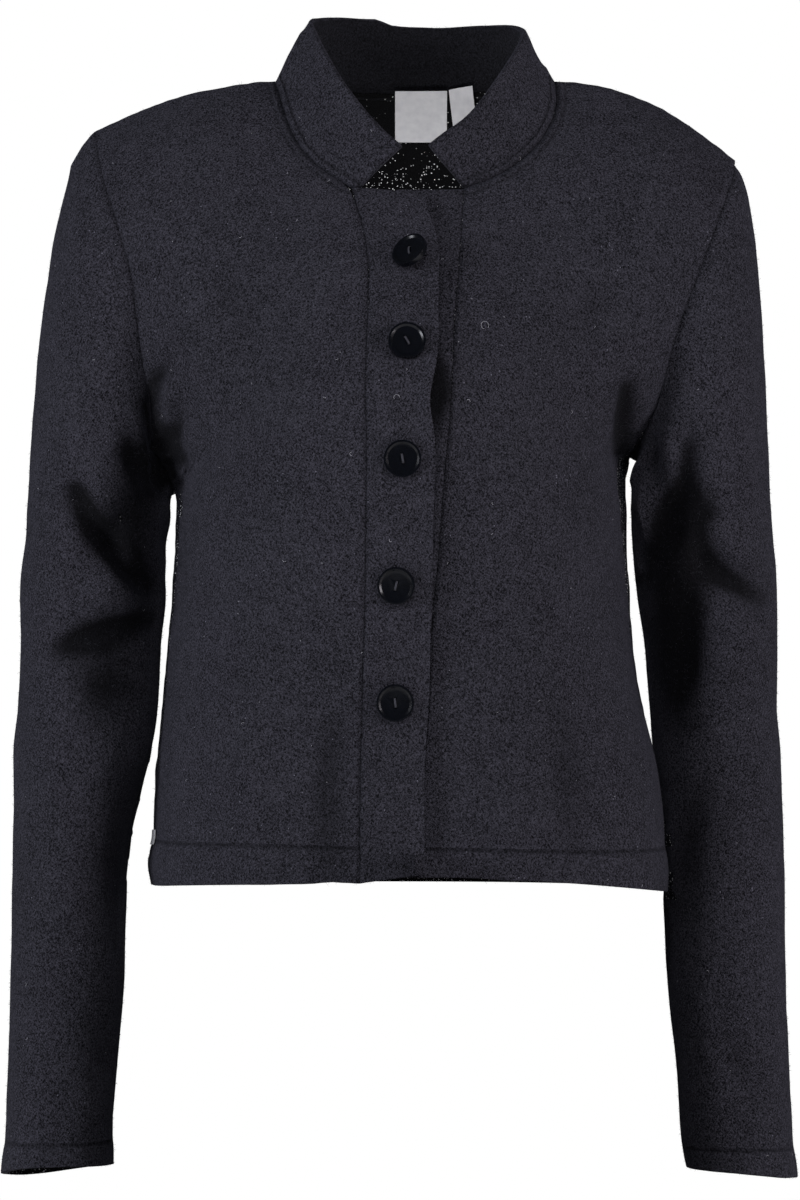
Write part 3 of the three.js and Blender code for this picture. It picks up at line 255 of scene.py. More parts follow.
BACK_CREASES = [
    ([(-149, -176), (-139, -206), (-124, -226)], 8, 10, 5.5),
    ([(-196, -262), (-178, -286), (-160, -298)], 8, 9, 6.0),
    ([(-212, -344), (-188, -334), (-168, -330)], 8, 7, 4.5),
    ([(-176, -372), (-182, -410)], 20, 16, 3.2),
    ([(-200, -520), (-190, -560)], 12, 10, 2.2),
    ([(146, -182), (138, -210), (120, -232)], 9, 8, 5.0),
    ([(192, -258), (176, -280), (150, -296)], 9, 8, 5.5),
    ([(208, -330), (184, -322), (160, -322)], 7, 8, 4.5),
    ([(172, -366), (178, -402)], 18, 16, 3.0),
    ([(196, -530), (186, -566)], 11, 12, 2.0),
    ([(-62, -330), (-56, -400), (-66, -478)], 15, 18, 3.6),
    ([(44, -345), (52, -410), (46, -480)], 17, 14, 3.0),
    ([(-8, -300), (-4, -340)], 24, 20, 2.4),
    ([(-88, -150), (-64, -190)], 16, 18, -2.4),
    ([(84, -156), (60, -200)], 18, 16, -2.0),
]


CREASE_REACH = 2.6  # half widths from its line at which a crease has died out


def creases(p, direction):
    """Depth of the folds laid into the cloth here, in metres; the sides get none."""
    facing = min(1.0, max(0.0, (abs(direction[1]) - 0.12) / 0.3))
    depth = 0.0
    if facing > 0:
        x, z = p.x / MM, p.z / MM
        for line, before, after, deep in FRONT_CREASES if direction[1] < 0 else BACK_CREASES:
            reach = CREASE_REACH * max(before, after)
            if not min(q[0] for q in line) - reach < x < max(q[0] for q in line) + reach:
                continue
            if not min(q[1] for q in line) - reach < z < max(q[1] for q in line) + reach:
                continue
            gap, side, along = polyline_reach(x, z, line)
            wide = before if side > 0 else after
            if gap < CREASE_REACH * wide:
                fade = 0.55 + 0.45 * math.sin(math.pi * min(1.0, 0.15 + 0.8 * along))
                depth += deep * fade * math.exp(-(gap / wide) ** 2)
    return depth * facing * MM


def pucker(p, distance):
    """Ripples that the thread draws up beside a seam; they die out 14 mm away."""
    wave = noise(Vector((p.x * 170, p.y * 170, p.z * 170 + 7.0)))
    return 0.5 * MM * wave * math.exp(-((distance - 3 * MM) / (8 * MM)) ** 2)


print("outward samples:", len(sample_places))

# %% [markdown]
# ## Building one cloth piece
# The copy's corners are rounded, the mesh is subdivided, and then its points are moved: broad
# unevenness everywhere, the listed creases, small ripples beside the seams, and a slight lift
# where the placket's free edge stands away from the band under it. Four lengths are kept on
# the mesh for the wool material: the distances to the nearest seam, to the neck seam and to
# the stitched line of the hem, and a depth of painted shade, for where little light comes in:
# the depth of the fold, a dark band on the underlap beside the placket's edge, and a dark
# rim along the collar's free edges.

# %% Cloth builder
# height, half length and rise of the placket's lifted stretches, between its buttons
LIFTS = [(-134, 15, 1.6), (-194, 23, 3.4), (-266, 24, 1.4), (-338, 22, 1.0), (-425, 30, 1.2)]


def distance_field(points_lists):
    points = [p for points in points_lists for p in points]
    return tree_of(points) if points else None


def seat(obj):
    """Links an object, and leaves it as the only selected and active one."""
    bpy.ops.object.select_all(action="DESELECT")
    if obj.name not in scene.collection.objects:
        scene.collection.objects.link(obj)
    obj.select_set(True)
    bpy.context.view_layer.objects.active = obj
    return obj


def round_corners(bm, name):
    sewn = sewn_edges(name)
    sharp = bm.edges.layers.int.new("sewn")
    bm.edges.ensure_lookup_table()
    for e in bm.edges:
        if e.calc_face_angle(0) > SHARP:
            e[sharp] = 1 if e.index in sewn else 2
    free_width = (1.5 if name in DOUBLED else 0.85) * MM
    for mark, width, segments in ((2, free_width, 3), (1, 0.55 * MM, 2)):
        chosen = [e for e in bm.edges if e[sharp] == mark and e.calc_face_angle(0) > 0.6]
        if chosen:
            bmesh.ops.bevel(bm, geom=chosen, offset=width, offset_type="OFFSET",
                            segments=segments, profile=0.5, affect="EDGES", clamp_overlap=True)
    bm.edges.layers.int.remove(sharp)


def hem_line(name, co):
    """Signed height above the stitched line of a turned-up hem, or far off."""
    if name in ("back", "front_right", "front_left"):
        share = min(1.0, max(0.0, (co.x + 0.105) / 0.21))
        return co.z + (457 + 4 * share) * MM if name != "back" else co.z + 459 * MM
    if name == "sleeve_right":
        return co.z + 637.5 * MM
    if name == "sleeve_left":
        return co.z + 642 * MM
    return 1.0


BUTTON_PLACES = [(-2.6, -108.1), (-5.0, -160.3), (-7.6, -229.1),
                 (-11.1, -303.4), (-11.7, -372.3)]


PRESSED_RADIUS = 12.5 * MM
PRESSED_BY = 0.3 * MM


def under_button(p, height):
    """Behind a button the placket is pressed flat."""
    near = max(math.exp(-(math.hypot(p.x - x * MM, p.z - z * MM) / PRESSED_RADIUS) ** 6)
               for x, z in BUTTON_PLACES)
    return height * (1 - near) - PRESSED_BY * near


GAP_SHIFT = 1.6 * MM


def beside_gap(name, p):
    """Shifts sleeve and body apart where the left sleeve hangs against the side."""
    near = GAP_SHIFT * math.exp(-((p.z / MM + 237) / 16) ** 4)
    if name == "sleeve_left":
        return near * min(1.0, max(0.0, (165 - p.x / MM) / 28))
    if name in ("front_left", "back"):
        return -near * min(1.0, max(0.0, (p.x / MM - 106) / 16))
    return 0.0


def underlap_shade(p):
    """Painted shade on the underlap beside the placket's edge, deepest where that edge gapes at
    one button.
    """
    x, z = p.x / MM, p.z / MM
    beside = max(0.0, x - 14.0 - 0.018 * (z + 150))
    gape = math.exp(-((z + 189) / 22) ** 2)
    upper = math.exp(-((z + 170) / 110) ** 4)
    return (0.3 + 1.7 * upper * math.exp(-(beside / 3.2) ** 2)
            + 4.2 * gape * math.exp(-(beside / (1 + 9.5 * gape)) ** 4)) * MM


def free_edges(name):
    """Points along the cut or folded edges of a piece that are sewn to nothing."""
    sewn = sewn_edges(name)
    return tree_of([p for e in raw[name].edges
                    if e.index not in sewn and e.calc_face_angle(0) > SHARP
                    for p in along_edge(e, 0.8 * MM)])


DRAWN_REACH = 2.0 * MM


def drawn_in(p, beyond):
    """The stitches pull two edges together, so the last 2 mm lean to the other piece."""
    place, _, distance = beyond.find(p) if beyond else (p, 0, 1.0)
    if distance > DRAWN_REACH:
        return (0.0, 0.0, 0.0)
    return (place - p) * 0.42 * (1.0 - distance / DRAWN_REACH)


def collar_top(p):
    """The collar's top edge is not cut level: one side stands higher, with a soft step."""
    high = min(1.0, max(0.0, (p.z / MM - 12) / 22))
    step = 1.0 / (1.0 + math.exp((p.x / MM + 19) / 1.1))
    fall = min(1.0, max(0.0, (p.x / MM + 60) / 36))
    wave = noise(Vector((p.x * 46, p.y * 30, 2.0)))
    return high * (2.8 * step * fall + 0.6 * wave) * MM


def smoothed(obj):
    """Subdivides the mesh twice, for good."""
    smooth = obj.modifiers.new("smooth", "SUBSURF")
    smooth.levels = smooth.render_levels = 2
    bpy.ops.object.modifier_apply(modifier=smooth.name)
    return obj.data


def cloth_piece(name):
    bm = raw[name].copy()
    bm.verts.index_update()
    bm.edges.index_update()
    round_corners(bm, name)
    mesh = bpy.data.meshes.new(name + "_cloth")
    bm.to_mesh(mesh)
    bm.free()
    obj = seat(bpy.data.objects.new(name + "_cloth", mesh))
    mesh = smoothed(obj)
    own = distance_field([pts for (piece, _), (_, pts) in seams.items() if piece == name])
    neck = distance_field([pts for (piece, other), (_, pts) in seams.items()
                           if piece == name and "collar" in (piece, other)])
    beyond = distance_field([pts for (_, other), (_, pts) in seams.items() if other == name])
    rim = free_edges(name) if name == "collar" else None
    count = len(mesh.vertices)
    seam_d, neck_d, hem_d = np.ones(count), np.ones(count), np.ones(count)
    fold_and_shade_d = np.zeros(count)
    moved = np.zeros((count, 3))
    for i, v in enumerate(mesh.vertices):
        p = v.co
        seam_d[i] = own.find(p)[2] if own else 1.0
        neck_d[i] = neck.find(p)[2] if neck else 1.0
        hem_d[i] = hem_line(name, p)
        direction = outward(p)
        height = unevenness(p) + pucker(p, seam_d[i])
        fold_and_shade_d[i] = creases(p, direction)
        height -= fold_and_shade_d[i]
        # painted shade: on the underlap the shade depth is a dark band beside the placket's edge,
        # in place of the crease depth
        if name == "placket_left":
            fold_and_shade_d[i] = underlap_shade(p)
        # painted shade: the collar's free edges are darkened, where the side lights would show
        # them bright
        if rim:
            fold_and_shade_d[i] += 3.2 * MM * math.exp(-(rim.find(p)[2] / (1.7 * MM)) ** 2)
        shift = np.array((beside_gap(name, p), 0.0, 0.0))
        if name == "placket_right":
            across = min(1.0, max(0.0, (p.x / MM + 4) / 13))
            shift[0] = -3.2 * MM * across ** 2 * math.exp(-((p.z / MM + 194) / 20) ** 2)
            height += sum(rise * math.exp(-((p.z / MM - z) / half) ** 2)
                          for z, half, rise in LIFTS) * across ** 2 * MM
            height = under_button(p, height)
        moved[i] = np.array(p) + direction * height + np.array(drawn_in(p, beyond)) + shift
        if name == "collar":
            moved[i][2] += collar_top(p)
    mesh.vertices.foreach_set("co", moved.ravel())
    for label, values in (("seam", seam_d), ("neck", neck_d), ("hem", hem_d), ("fold", fold_and_shade_d)):
        layer = mesh.attributes.new(label, "FLOAT", "POINT")
        layer.data.foreach_set("value", values)
    mesh.polygons.foreach_set("use_smooth", [True] * len(mesh.polygons))
    mesh.update()
    area = sum(f.area for f in mesh.polygons) / 2
    print(f"{name}: {len(mesh.polygons)} faces, one layer {area:.4f} m2")
    return obj


cloth = {name: cloth_piece(name) for name in CLOTH_NODES}

# %% [markdown]
# ## Nodes and colours
# Materials are built from nodes. One function adds a node with its settings and links, and
# one turns a screen colour, written as sRGB hex, into the linear numbers that Cycles wants.

# %% Helpers for materials
def linear(code):
    """The linear colour, with full alpha, of an sRGB hex code."""
    parts = [int(code[i:i + 2], 16) / 255 for i in (1, 3, 5)]
    return [v / 12.92 if v <= 0.04045 else ((v + 0.055) / 1.055) ** 2.4 for v in parts] + [1.0]


def add(tree, kind, inputs=None, **settings):
    """Adds a node; an input is given a value, or is linked where it is given an output."""
    node = tree.nodes.new(kind)
    for key, value in settings.items():
        setattr(node, key, value)
    for key, value in (inputs or {}).items():
        if isinstance(value, bpy.types.NodeSocket):
            tree.links.new(value, node.inputs[key])
        else:
            node.inputs[key].default_value = value
    return node


def new_material(name):
    material = bpy.data.materials.new(name)
    material.use_nodes = True
    tree = material.node_tree
    tree.nodes.clear()
    return material, tree


# %% [markdown]
# ## Boiled wool
# Boiled wool is knitted and then felted in hot water until its stitches close up. The eye
# sees a dull, nearly black blue-grey with short slanting marks about 1.5 mm apart, which are
# what is left of the stitches, lighter and darker patches a centimetre wide, and a soft sheen
# of loose fibres at grazing angles. The marks are noise drawn out along two slants, the
# patches are two larger noises, and the sheen is the shader's own. Pale dots are pale fibres
# on the outer and turned faces and painted light seen through the knit on the inner face.
# The stitched lines and the ridge beside the neck seam are too fine for the mesh, so they are
# bump, read from the distances that each piece carries. The colour is darkened as painted
# shade beside the seams, the hem's stitches and the neck step, and in creases.

# %% Boiled wool material
# painted shade: the colour is darkened by the depth that the "fold" attribute carries, down to
# this share at its deepest
DEEP_FOLD_SHADE = 0.1  # what is left of the colour at the bottom of a deep fold
FOLD_START, FOLD_DEEP = 0.6 * MM, 5.3 * MM


def boiled_wool(name, dark, light, fleck, fleck_limit):
    material, tree = new_material(name)
    place = add(tree, "ShaderNodeTexCoord")
    strokes = []
    for turn in (0.62, -0.62):
        # a stitch leg is about 0.8 mm wide and 1.9 mm long, leaning 35 degrees
        slant = add(tree, "ShaderNodeMapping", {"Vector": place.outputs["Object"],
                    "Rotation": (0, turn, 0), "Scale": (0.8 * MM, 0.8 * MM, 1.9 * MM)},
                    vector_type="TEXTURE")
        legs = add(tree, "ShaderNodeTexNoise", {"Vector": slant.outputs["Vector"],
                   "Scale": 1.0, "Detail": 1.0, "Roughness": 0.5})
        strokes.append(legs.outputs["Fac"])
    stitch = add(tree, "ShaderNodeMath", {0: strokes[0], 1: strokes[1]}, operation="MAXIMUM")
    fuzz = add(tree, "ShaderNodeTexNoise", {"Vector": place.outputs["Object"],
               "Scale": 1050.0, "Detail": 1.0, "Roughness": 0.6})
    patch = add(tree, "ShaderNodeTexNoise", {"Vector": place.outputs["Object"],
                "Scale": 110.0, "Detail": 3.0, "Roughness": 0.6})
    broad = add(tree, "ShaderNodeTexNoise", {"Vector": place.outputs["Object"],
                "Scale": 16.0, "Detail": 2.0, "Roughness": 0.5})
    grain = add(tree, "ShaderNodeMath", {0: stitch.outputs[0], 1: fuzz.outputs["Fac"]},
                operation="ADD")
    tone = add(tree, "ShaderNodeMath", {0: patch.outputs["Fac"], 1: 0.2,
               2: grain.outputs[0]}, operation="MULTIPLY_ADD")
    tone = add(tree, "ShaderNodeMath", {0: broad.outputs["Fac"], 1: 0.14,
               2: tone.outputs[0]}, operation="MULTIPLY_ADD")
    level = add(tree, "ShaderNodeMapRange", {"Value": tone.outputs[0], "From Min": 1.0,
                "From Max": 1.52, "To Min": 0.0, "To Max": 1.0})
    body = add(tree, "ShaderNodeMix", {"Factor": level.outputs["Result"], 6: linear(dark),
               7: linear(light)}, data_type="RGBA")
    # pale loops: round dots 1.6 mm apart, and those over the limit are pale; with the outer and
    # turned colours they are pale fibres, with the inner face's near-white they are painted light
    # seen through the knit
    loop = add(tree, "ShaderNodeTexVoronoi", {"Vector": place.outputs["Object"],
               "Scale": 620.0, "Randomness": 0.8})
    loop_own = add(tree, "ShaderNodeSeparateColor", {"Color": loop.outputs["Color"]})
    crowd = add(tree, "ShaderNodeTexNoise", {"Vector": place.outputs["Object"],
                "Scale": 70.0, "Detail": 2.0})
    notch = add(tree, "ShaderNodeSeparateXYZ", {"Vector": place.outputs["Object"]})
    low = add(tree, "ShaderNodeMapRange", {"Value": notch.outputs["Z"], "From Min": -36 * MM,
              "From Max": -56 * MM, "To Min": 0.0, "To Max": 0.62})
    pale_or_lit_chance = add(tree, "ShaderNodeMath", {0: loop_own.outputs[0], 1: low.outputs["Result"]},
                      operation="ADD")
    pale_or_lit_chance = add(tree, "ShaderNodeMath", {0: crowd.outputs["Fac"], 1: 0.5,
                      2: pale_or_lit_chance.outputs[0]}, operation="MULTIPLY_ADD")
    pale_or_lit_loop = add(tree, "ShaderNodeMath", {0: pale_or_lit_chance.outputs[0], 1: fleck_limit},
                    operation="GREATER_THAN")
    inner_dot = add(tree, "ShaderNodeMapRange", {"Value": loop.outputs["Distance"],
                    "From Min": 0.20, "From Max": 0.30, "To Min": 1.0, "To Max": 0.0})
    chosen = add(tree, "ShaderNodeMath", {0: pale_or_lit_loop.outputs[0],
                 1: inner_dot.outputs["Result"]}, operation="MULTIPLY")
    flecked = add(tree, "ShaderNodeMix", {"Factor": chosen.outputs[0],
                  6: body.outputs[2], 7: linear(fleck)}, data_type="RGBA")
    # distances in millimetres to the hem's stitches, the neck seam and the nearest seam
    away = {}
    for label in ("hem", "neck", "seam"):
        stored = add(tree, "ShaderNodeAttribute", attribute_name=label)
        far = add(tree, "ShaderNodeMath", {0: stored.outputs["Fac"], 1: 1000.0},
                  operation="MULTIPLY")
        away[label] = add(tree, "ShaderNodeMath", {0: far.outputs[0]},
                          operation="ABSOLUTE").outputs[0]

    neck_off = add(tree, "ShaderNodeMath", {0: away["neck"], 1: 5.3}, operation="SUBTRACT")
    away["step"] = add(tree, "ShaderNodeMath", {0: neck_off.outputs[0]},
                       operation="ABSOLUTE").outputs[0]
    away["fold"] = add(tree, "ShaderNodeAttribute", attribute_name="fold").outputs["Fac"]
    # The turned seam allowance lies under the cloth beside the neck seam and ends in a step,
    # the stitches draw grooves, and light hardly reaches the bottom of grooves and creases.
    ramps = {}
    for key, source, start, end, at_start, at_end in [
            ("neck band", "neck", 3.4, 5.2, 1.5, 0.0), ("neck line", "neck", 0.0, 1.8, -0.9, 0.0),
            ("hem groove", "hem", 0.2, 1.9, -1.0, 0.0), ("seam dip", "seam", 0.0, 2.6, -0.8, 0.0),
            ("hem shade", "hem", 0.1, 1.1, 0.5, 1.0), ("seam shade", "seam", 0.2, 1.5, 0.6, 1.0),
            ("neck shade", "step", 0.2, 1.3, 0.74, 1.0),
            ("fold shade", "fold", FOLD_START, FOLD_DEEP, 1.0, DEEP_FOLD_SHADE)]:
        ramps[key] = add(tree, "ShaderNodeMapRange", {
            "Value": away[source], "From Min": start, "From Max": end, "To Min": at_start,
            "To Max": at_end}, interpolation_type="SMOOTHSTEP").outputs["Result"]
    lines = ramps["neck band"]
    for key in ("neck line", "hem groove", "seam dip"):
        lines = add(tree, "ShaderNodeMath", {0: lines, 1: ramps[key]},
                    operation="ADD").outputs[0]
    lit = ramps["hem shade"]
    for key in ("seam shade", "neck shade", "fold shade"):
        lit = add(tree, "ShaderNodeMath", {0: lit, 1: ramps[key]},
                  operation="MULTIPLY").outputs[0]
    line_bump = add(tree, "ShaderNodeBump", {"Height": lines, "Strength": 1.0,
                    "Distance": 1.3 * MM})
    grain_bump = add(tree, "ShaderNodeBump", {"Height": grain.outputs[0], "Strength": 0.8,
                     "Distance": 0.7 * MM, "Normal": line_bump.outputs["Normal"]})
    # painted shade: the colour is mixed toward near black at the hem's stitches, the seams, the
    # neck step and by the "fold" depth
    darkened = add(tree, "ShaderNodeMix", {"Factor": lit, 6: linear("#060608"),
                   7: flecked.outputs[2]}, data_type="RGBA")
    shader = add(tree, "ShaderNodeBsdfPrincipled", {
        "Base Color": darkened.outputs[2], "Roughness": 0.94, "Specular IOR Level": 0.22,
        "IOR": 1.5, "Sheen Weight": 0.1, "Sheen Roughness": 0.42,
        "Sheen Tint": linear("#9a9cb4"), "Normal": grain_bump.outputs["Normal"]})
    add(tree, "ShaderNodeOutputMaterial", {"Surface": shader.outputs["BSDF"]})
    return material


wool_face = boiled_wool("boiled wool, outer face", "#0d0d11", "#4b4a54", "#73737f", 1.9)
# painted shade: the turned and inner copies are darker than the outer face; the inner copy's
# near-white specks are painted light
wool_turned = boiled_wool("boiled wool, turned inside, painted shade", "#09090c", "#24242a", "#303036", 1.9)
wool_inside = boiled_wool("boiled wool, inner face, painted shade and light", "#050506", "#0d0d10", "#f2f2f6", 1.08)

# %% [markdown]
# ## Outside and inside of the cloth
# The inner faces get darker copies of the wool, which is painted shade for the inside of the
# garment, and the inner face of the body and sleeves shows near-white specks, which are
# painted light seen through the knit. A face belongs to the inside where it looks against
# the shared outward direction.

# %% Give each piece its two faces
INSIDE_LIMIT = -0.35  # cosine of the angle to the outward direction


def dress(obj, inner):
    mesh = obj.data
    mesh.materials.clear()
    mesh.materials.append(wool_face)
    mesh.materials.append(inner)
    inside = 0
    for f in mesh.polygons:
        if np.dot(np.array(f.normal), outward(f.center)) < INSIDE_LIMIT:
            f.material_index = 1
            inside += 1
    return inside


for name, obj in cloth.items():
    print(name, "inner faces:", dress(obj, wool_turned if name in DOUBLED else wool_inside))

# %% [markdown]
# ## Buttons
# The buttons are pressed from dark polyester and polished, 22 mm across, with a raised rim
# round a shallow dish and two holes. One button is modelled by hand operations from a
# cylinder and copied five times. Each copy takes the place and tilt of its measured solid,
# which are read from the ring of points at the solid's rim.

# %% One button
BUTTON_RADIUS = 11 * MM
BUTTON_THICK = 3.4 * MM
HOLE_PITCH = 5.2 * MM
HOLE_RADIUS = 0.95 * MM


def only_faces(mesh, test):
    bpy.ops.mesh.select_all(action="DESELECT")
    bpy.ops.object.mode_set(mode="OBJECT")
    for f in mesh.polygons:
        f.select = bool(test(f))
    bpy.ops.object.mode_set(mode="EDIT")


def cut(obj, tool):
    boolean = obj.modifiers.new("cut", "BOOLEAN")
    boolean.operation = "DIFFERENCE"
    boolean.object = tool
    boolean.solver = "EXACT"
    seat(obj)
    bpy.ops.object.modifier_apply(modifier=boolean.name)
    bpy.data.objects.remove(tool)


def model_button():
    bpy.ops.object.select_all(action="DESELECT")
    bpy.ops.mesh.primitive_cylinder_add(vertices=72, radius=BUTTON_RADIUS, depth=BUTTON_THICK)
    obj = bpy.context.object
    obj.name = "button_master"
    bpy.ops.object.mode_set(mode="EDIT")
    bpy.ops.mesh.select_mode(type="FACE")
    only_faces(obj.data, lambda f: f.normal.z > 0.9)
    bpy.ops.mesh.inset(thickness=1.25 * MM)
    bpy.ops.mesh.inset(thickness=1.1 * MM)
    bpy.ops.transform.translate(value=(0, 0, -1.0 * MM))
    bpy.ops.mesh.inset(thickness=1.6 * MM)
    bpy.ops.transform.translate(value=(0, 0, -0.25 * MM))
    only_faces(obj.data, lambda f: f.normal.z < -0.9)
    bpy.ops.mesh.inset(thickness=2.6 * MM)
    bpy.ops.object.mode_set(mode="OBJECT")
    for side in (-1, 1):
        bpy.ops.object.select_all(action="DESELECT")
        bpy.ops.mesh.primitive_cylinder_add(vertices=20, radius=HOLE_RADIUS, depth=8 * MM,
                                            location=(0, side * HOLE_PITCH / 2, 0))
        cut(obj, bpy.context.object)
    soft = obj.modifiers.new("soft edges", "BEVEL")
    soft.width = 0.42 * MM
    soft.segments = 4
    soft.limit_method = "ANGLE"
    soft.angle_limit = math.radians(24)
    seat(obj)
    bpy.ops.object.modifier_apply(modifier=soft.name)
    bpy.ops.object.shade_smooth_by_angle(angle=math.radians(40))
    return obj


button_master = model_button()
print("button faces:", len(button_master.data.polygons))


# %% Where the buttons sit
def button_pose(node):
    """Centre and outward axis of a round solid, from the points at its rim."""
    points = np.array([v.co for v in nodes[node].data.vertices])
    centre = points.mean(axis=0)
    for _ in range(4):
        rim = points[np.linalg.norm(points - centre, axis=1) > 8 * MM]
        centre = rim.mean(axis=0)
        axis = np.linalg.svd(rim - centre, full_matrices=False)[2][2]
    if axis[1] > 0:
        axis = -axis
    return centre, axis


HOLE_TURNS = {"button_1": 20, "button_2": 28, "button_3": 10, "button_4": -14, "button_5": 6}


def button_matrix(node):
    centre, axis = button_pose(node)
    out = Vector(axis)
    up = Vector((0, 0, 1))
    side = up.cross(out).normalized()
    up = out.cross(side).normalized()
    turn = Matrix.Rotation(math.radians(HOLE_TURNS[node]), 3, "Z")
    basis = Matrix((side, up, out)).transposed() @ turn
    return Matrix.Translation(Vector(centre)) @ basis.to_4x4()


buttons = {}
for node in HOLE_TURNS:
    mesh = button_master.data.copy()
    mesh.transform(button_matrix(node))
    buttons[node] = bpy.data.objects.new(node + "_polished", mesh)
    scene.collection.objects.link(buttons[node])
    print(node, [round(v / MM, 1) for v in button_matrix(node).translation])
bpy.data.objects.remove(button_master)

# %% [markdown]
# ## Thread of the buttons
# Each button is sewn on by thread that passes up through one hole and down through the
# other, and is wound into a short shank behind. A flattened ring does the loop, and a thin
# cylinder the shank, which reaches the underlap through the buttonhole.

# %% Thread loops and shanks
def model_thread(node):
    parts = []
    for shift in (-0.34, 0.0, 0.34):
        bpy.ops.object.select_all(action="DESELECT")
        bpy.ops.mesh.primitive_torus_add(major_radius=HOLE_PITCH / 2, minor_radius=0.26 * MM,
                                         major_segments=28, minor_segments=8,
                                         location=(shift * MM, 0, 0),
                                         rotation=(0, math.radians(90), 0))
        ring = bpy.context.object
        bpy.ops.object.transform_apply(location=True, rotation=True, scale=True)
        for v in ring.data.vertices:
            v.co.z = v.co.z * 0.42 + 0.2 * MM
        parts.append(ring)
    low = box_depth(node)
    bpy.ops.object.select_all(action="DESELECT")
    bpy.ops.mesh.primitive_cylinder_add(vertices=16, radius=1.05 * MM, depth=low,
                                        location=(0, 0, -BUTTON_THICK / 2 - low / 2 + 0.2 * MM))
    shank = bpy.context.object
    bpy.ops.object.transform_apply(location=True, rotation=True, scale=True)
    parts.append(shank)
    bpy.ops.object.select_all(action="DESELECT")
    for part in parts:
        part.select_set(True)
    bpy.context.view_layer.objects.active = parts[0]
    bpy.ops.object.join()
    thread = bpy.context.object
    bpy.ops.object.shade_smooth_by_angle(angle=math.radians(50))
    thread.data.transform(button_matrix(node))
    thread.name = node + "_thread"
    return thread


def box_depth(node):
    """How far the solid's shank reaches behind the disc."""
    matrix = button_matrix(node).inverted()
    deepest = min((matrix @ v.co).z for v in nodes[node].data.vertices)
    return max(0.6 * MM, -deepest - BUTTON_THICK / 2)


threads = {node: model_thread(node) for node in buttons}
print("threads:", len(threads))

# %% [markdown]
# ## Polished polyester and thread
# The polyester is nearly black with a blue cast, polished to a mirror, so it is seen mostly
# by what it reflects. Faint clouds in the resin vary its colour. The thread is twisted, so a
# fine slanting wave gives its strands.

# %% Button and thread materials
def polished_polyester():
    material, tree = new_material("polished dark polyester")
    place = add(tree, "ShaderNodeTexCoord")
    cloud = add(tree, "ShaderNodeTexNoise", {"Vector": place.outputs["Object"],
                "Scale": 260.0, "Detail": 3.0, "Roughness": 0.6, "Distortion": 0.8})
    shade = add(tree, "ShaderNodeMix", {"Factor": cloud.outputs["Fac"],
                6: linear("#040508"), 7: linear("#0d1018")}, data_type="RGBA")
    scratch = add(tree, "ShaderNodeTexNoise", {"Vector": place.outputs["Object"],
                  "Scale": 1500.0, "Detail": 2.0})
    rough = add(tree, "ShaderNodeMapRange", {"Value": scratch.outputs["Fac"],
                "To Min": 0.20, "To Max": 0.28})
    ripple = add(tree, "ShaderNodeBump", {"Height": cloud.outputs["Fac"], "Strength": 0.12,
                 "Distance": 0.3 * MM})
    shader = add(tree, "ShaderNodeBsdfPrincipled", {
        "Base Color": shade.outputs[2], "Roughness": rough.outputs["Result"], "IOR": 1.47,
        "Normal": ripple.outputs["Normal"]})
    add(tree, "ShaderNodeOutputMaterial", {"Surface": shader.outputs["BSDF"]})
    return material


def twisted_thread(name, dark, light):
    material, tree = new_material(name)
    place = add(tree, "ShaderNodeTexCoord")
    strand = add(tree, "ShaderNodeTexWave", {"Vector": place.outputs["Object"],
                 "Scale": 900.0, "Distortion": 1.5, "Detail": 1.0}, bands_direction="DIAGONAL")
    shade = add(tree, "ShaderNodeMix", {"Factor": strand.outputs["Fac"], 6: linear(dark),
                7: linear(light)}, data_type="RGBA")
    ripple = add(tree, "ShaderNodeBump", {"Height": strand.outputs["Fac"], "Strength": 0.5,
                 "Distance": 0.1 * MM})
    shader = add(tree, "ShaderNodeBsdfPrincipled", {
        "Base Color": shade.outputs[2], "Roughness": 0.6, "Sheen Weight": 0.2,
        "Normal": ripple.outputs["Normal"]})
    add(tree, "ShaderNodeOutputMaterial", {"Surface": shader.outputs["BSDF"]})
    return material


polyester = polished_polyester()
thread_dark = twisted_thread("twisted sewing thread, dark", "#1c1c22", "#4a4a55")
for node in buttons:
    buttons[node].data.materials.clear()
    buttons[node].data.materials.append(polyester)
    threads[node].data.materials.clear()
    threads[node].data.materials.append(thread_dark)
print("materials:", polyester.name, "/", thread_dark.name)

# %% [markdown]
# ## Labels
# The two neck labels are white woven satin, left plain, and the side label is a short grey
# tab. Each is a copy of its solid, smoothed and given a slight wave. Satin is shiny along its
# threads, so it has fine level ribs 0.4 mm apart and a moderate gloss.

# %% Label pieces
def satin(name, dark, light, ribs):
    material, tree = new_material(name)
    place = add(tree, "ShaderNodeTexCoord")
    rib = add(tree, "ShaderNodeTexWave", {"Vector": place.outputs["Object"], "Scale": ribs,
              "Distortion": 0.4, "Detail": 1.0}, bands_direction="Z")
    cloud = add(tree, "ShaderNodeTexNoise", {"Vector": place.outputs["Object"],
                "Scale": 220.0, "Detail": 2.0})
    mix = add(tree, "ShaderNodeMath", {0: rib.outputs["Fac"], 1: 0.35,
              2: cloud.outputs["Fac"]}, operation="MULTIPLY_ADD")
    shade = add(tree, "ShaderNodeMix", {"Factor": mix.outputs[0], 6: linear(dark),
                7: linear(light)}, data_type="RGBA")
    ripple = add(tree, "ShaderNodeBump", {"Height": mix.outputs[0], "Strength": 0.35,
                 "Distance": 0.15 * MM})
    shader = add(tree, "ShaderNodeBsdfPrincipled", {
        "Base Color": shade.outputs[2], "Roughness": 0.42, "Sheen Weight": 0.1,
        "Normal": ripple.outputs["Normal"]})
    add(tree, "ShaderNodeOutputMaterial", {"Surface": shader.outputs["BSDF"]})
    return material


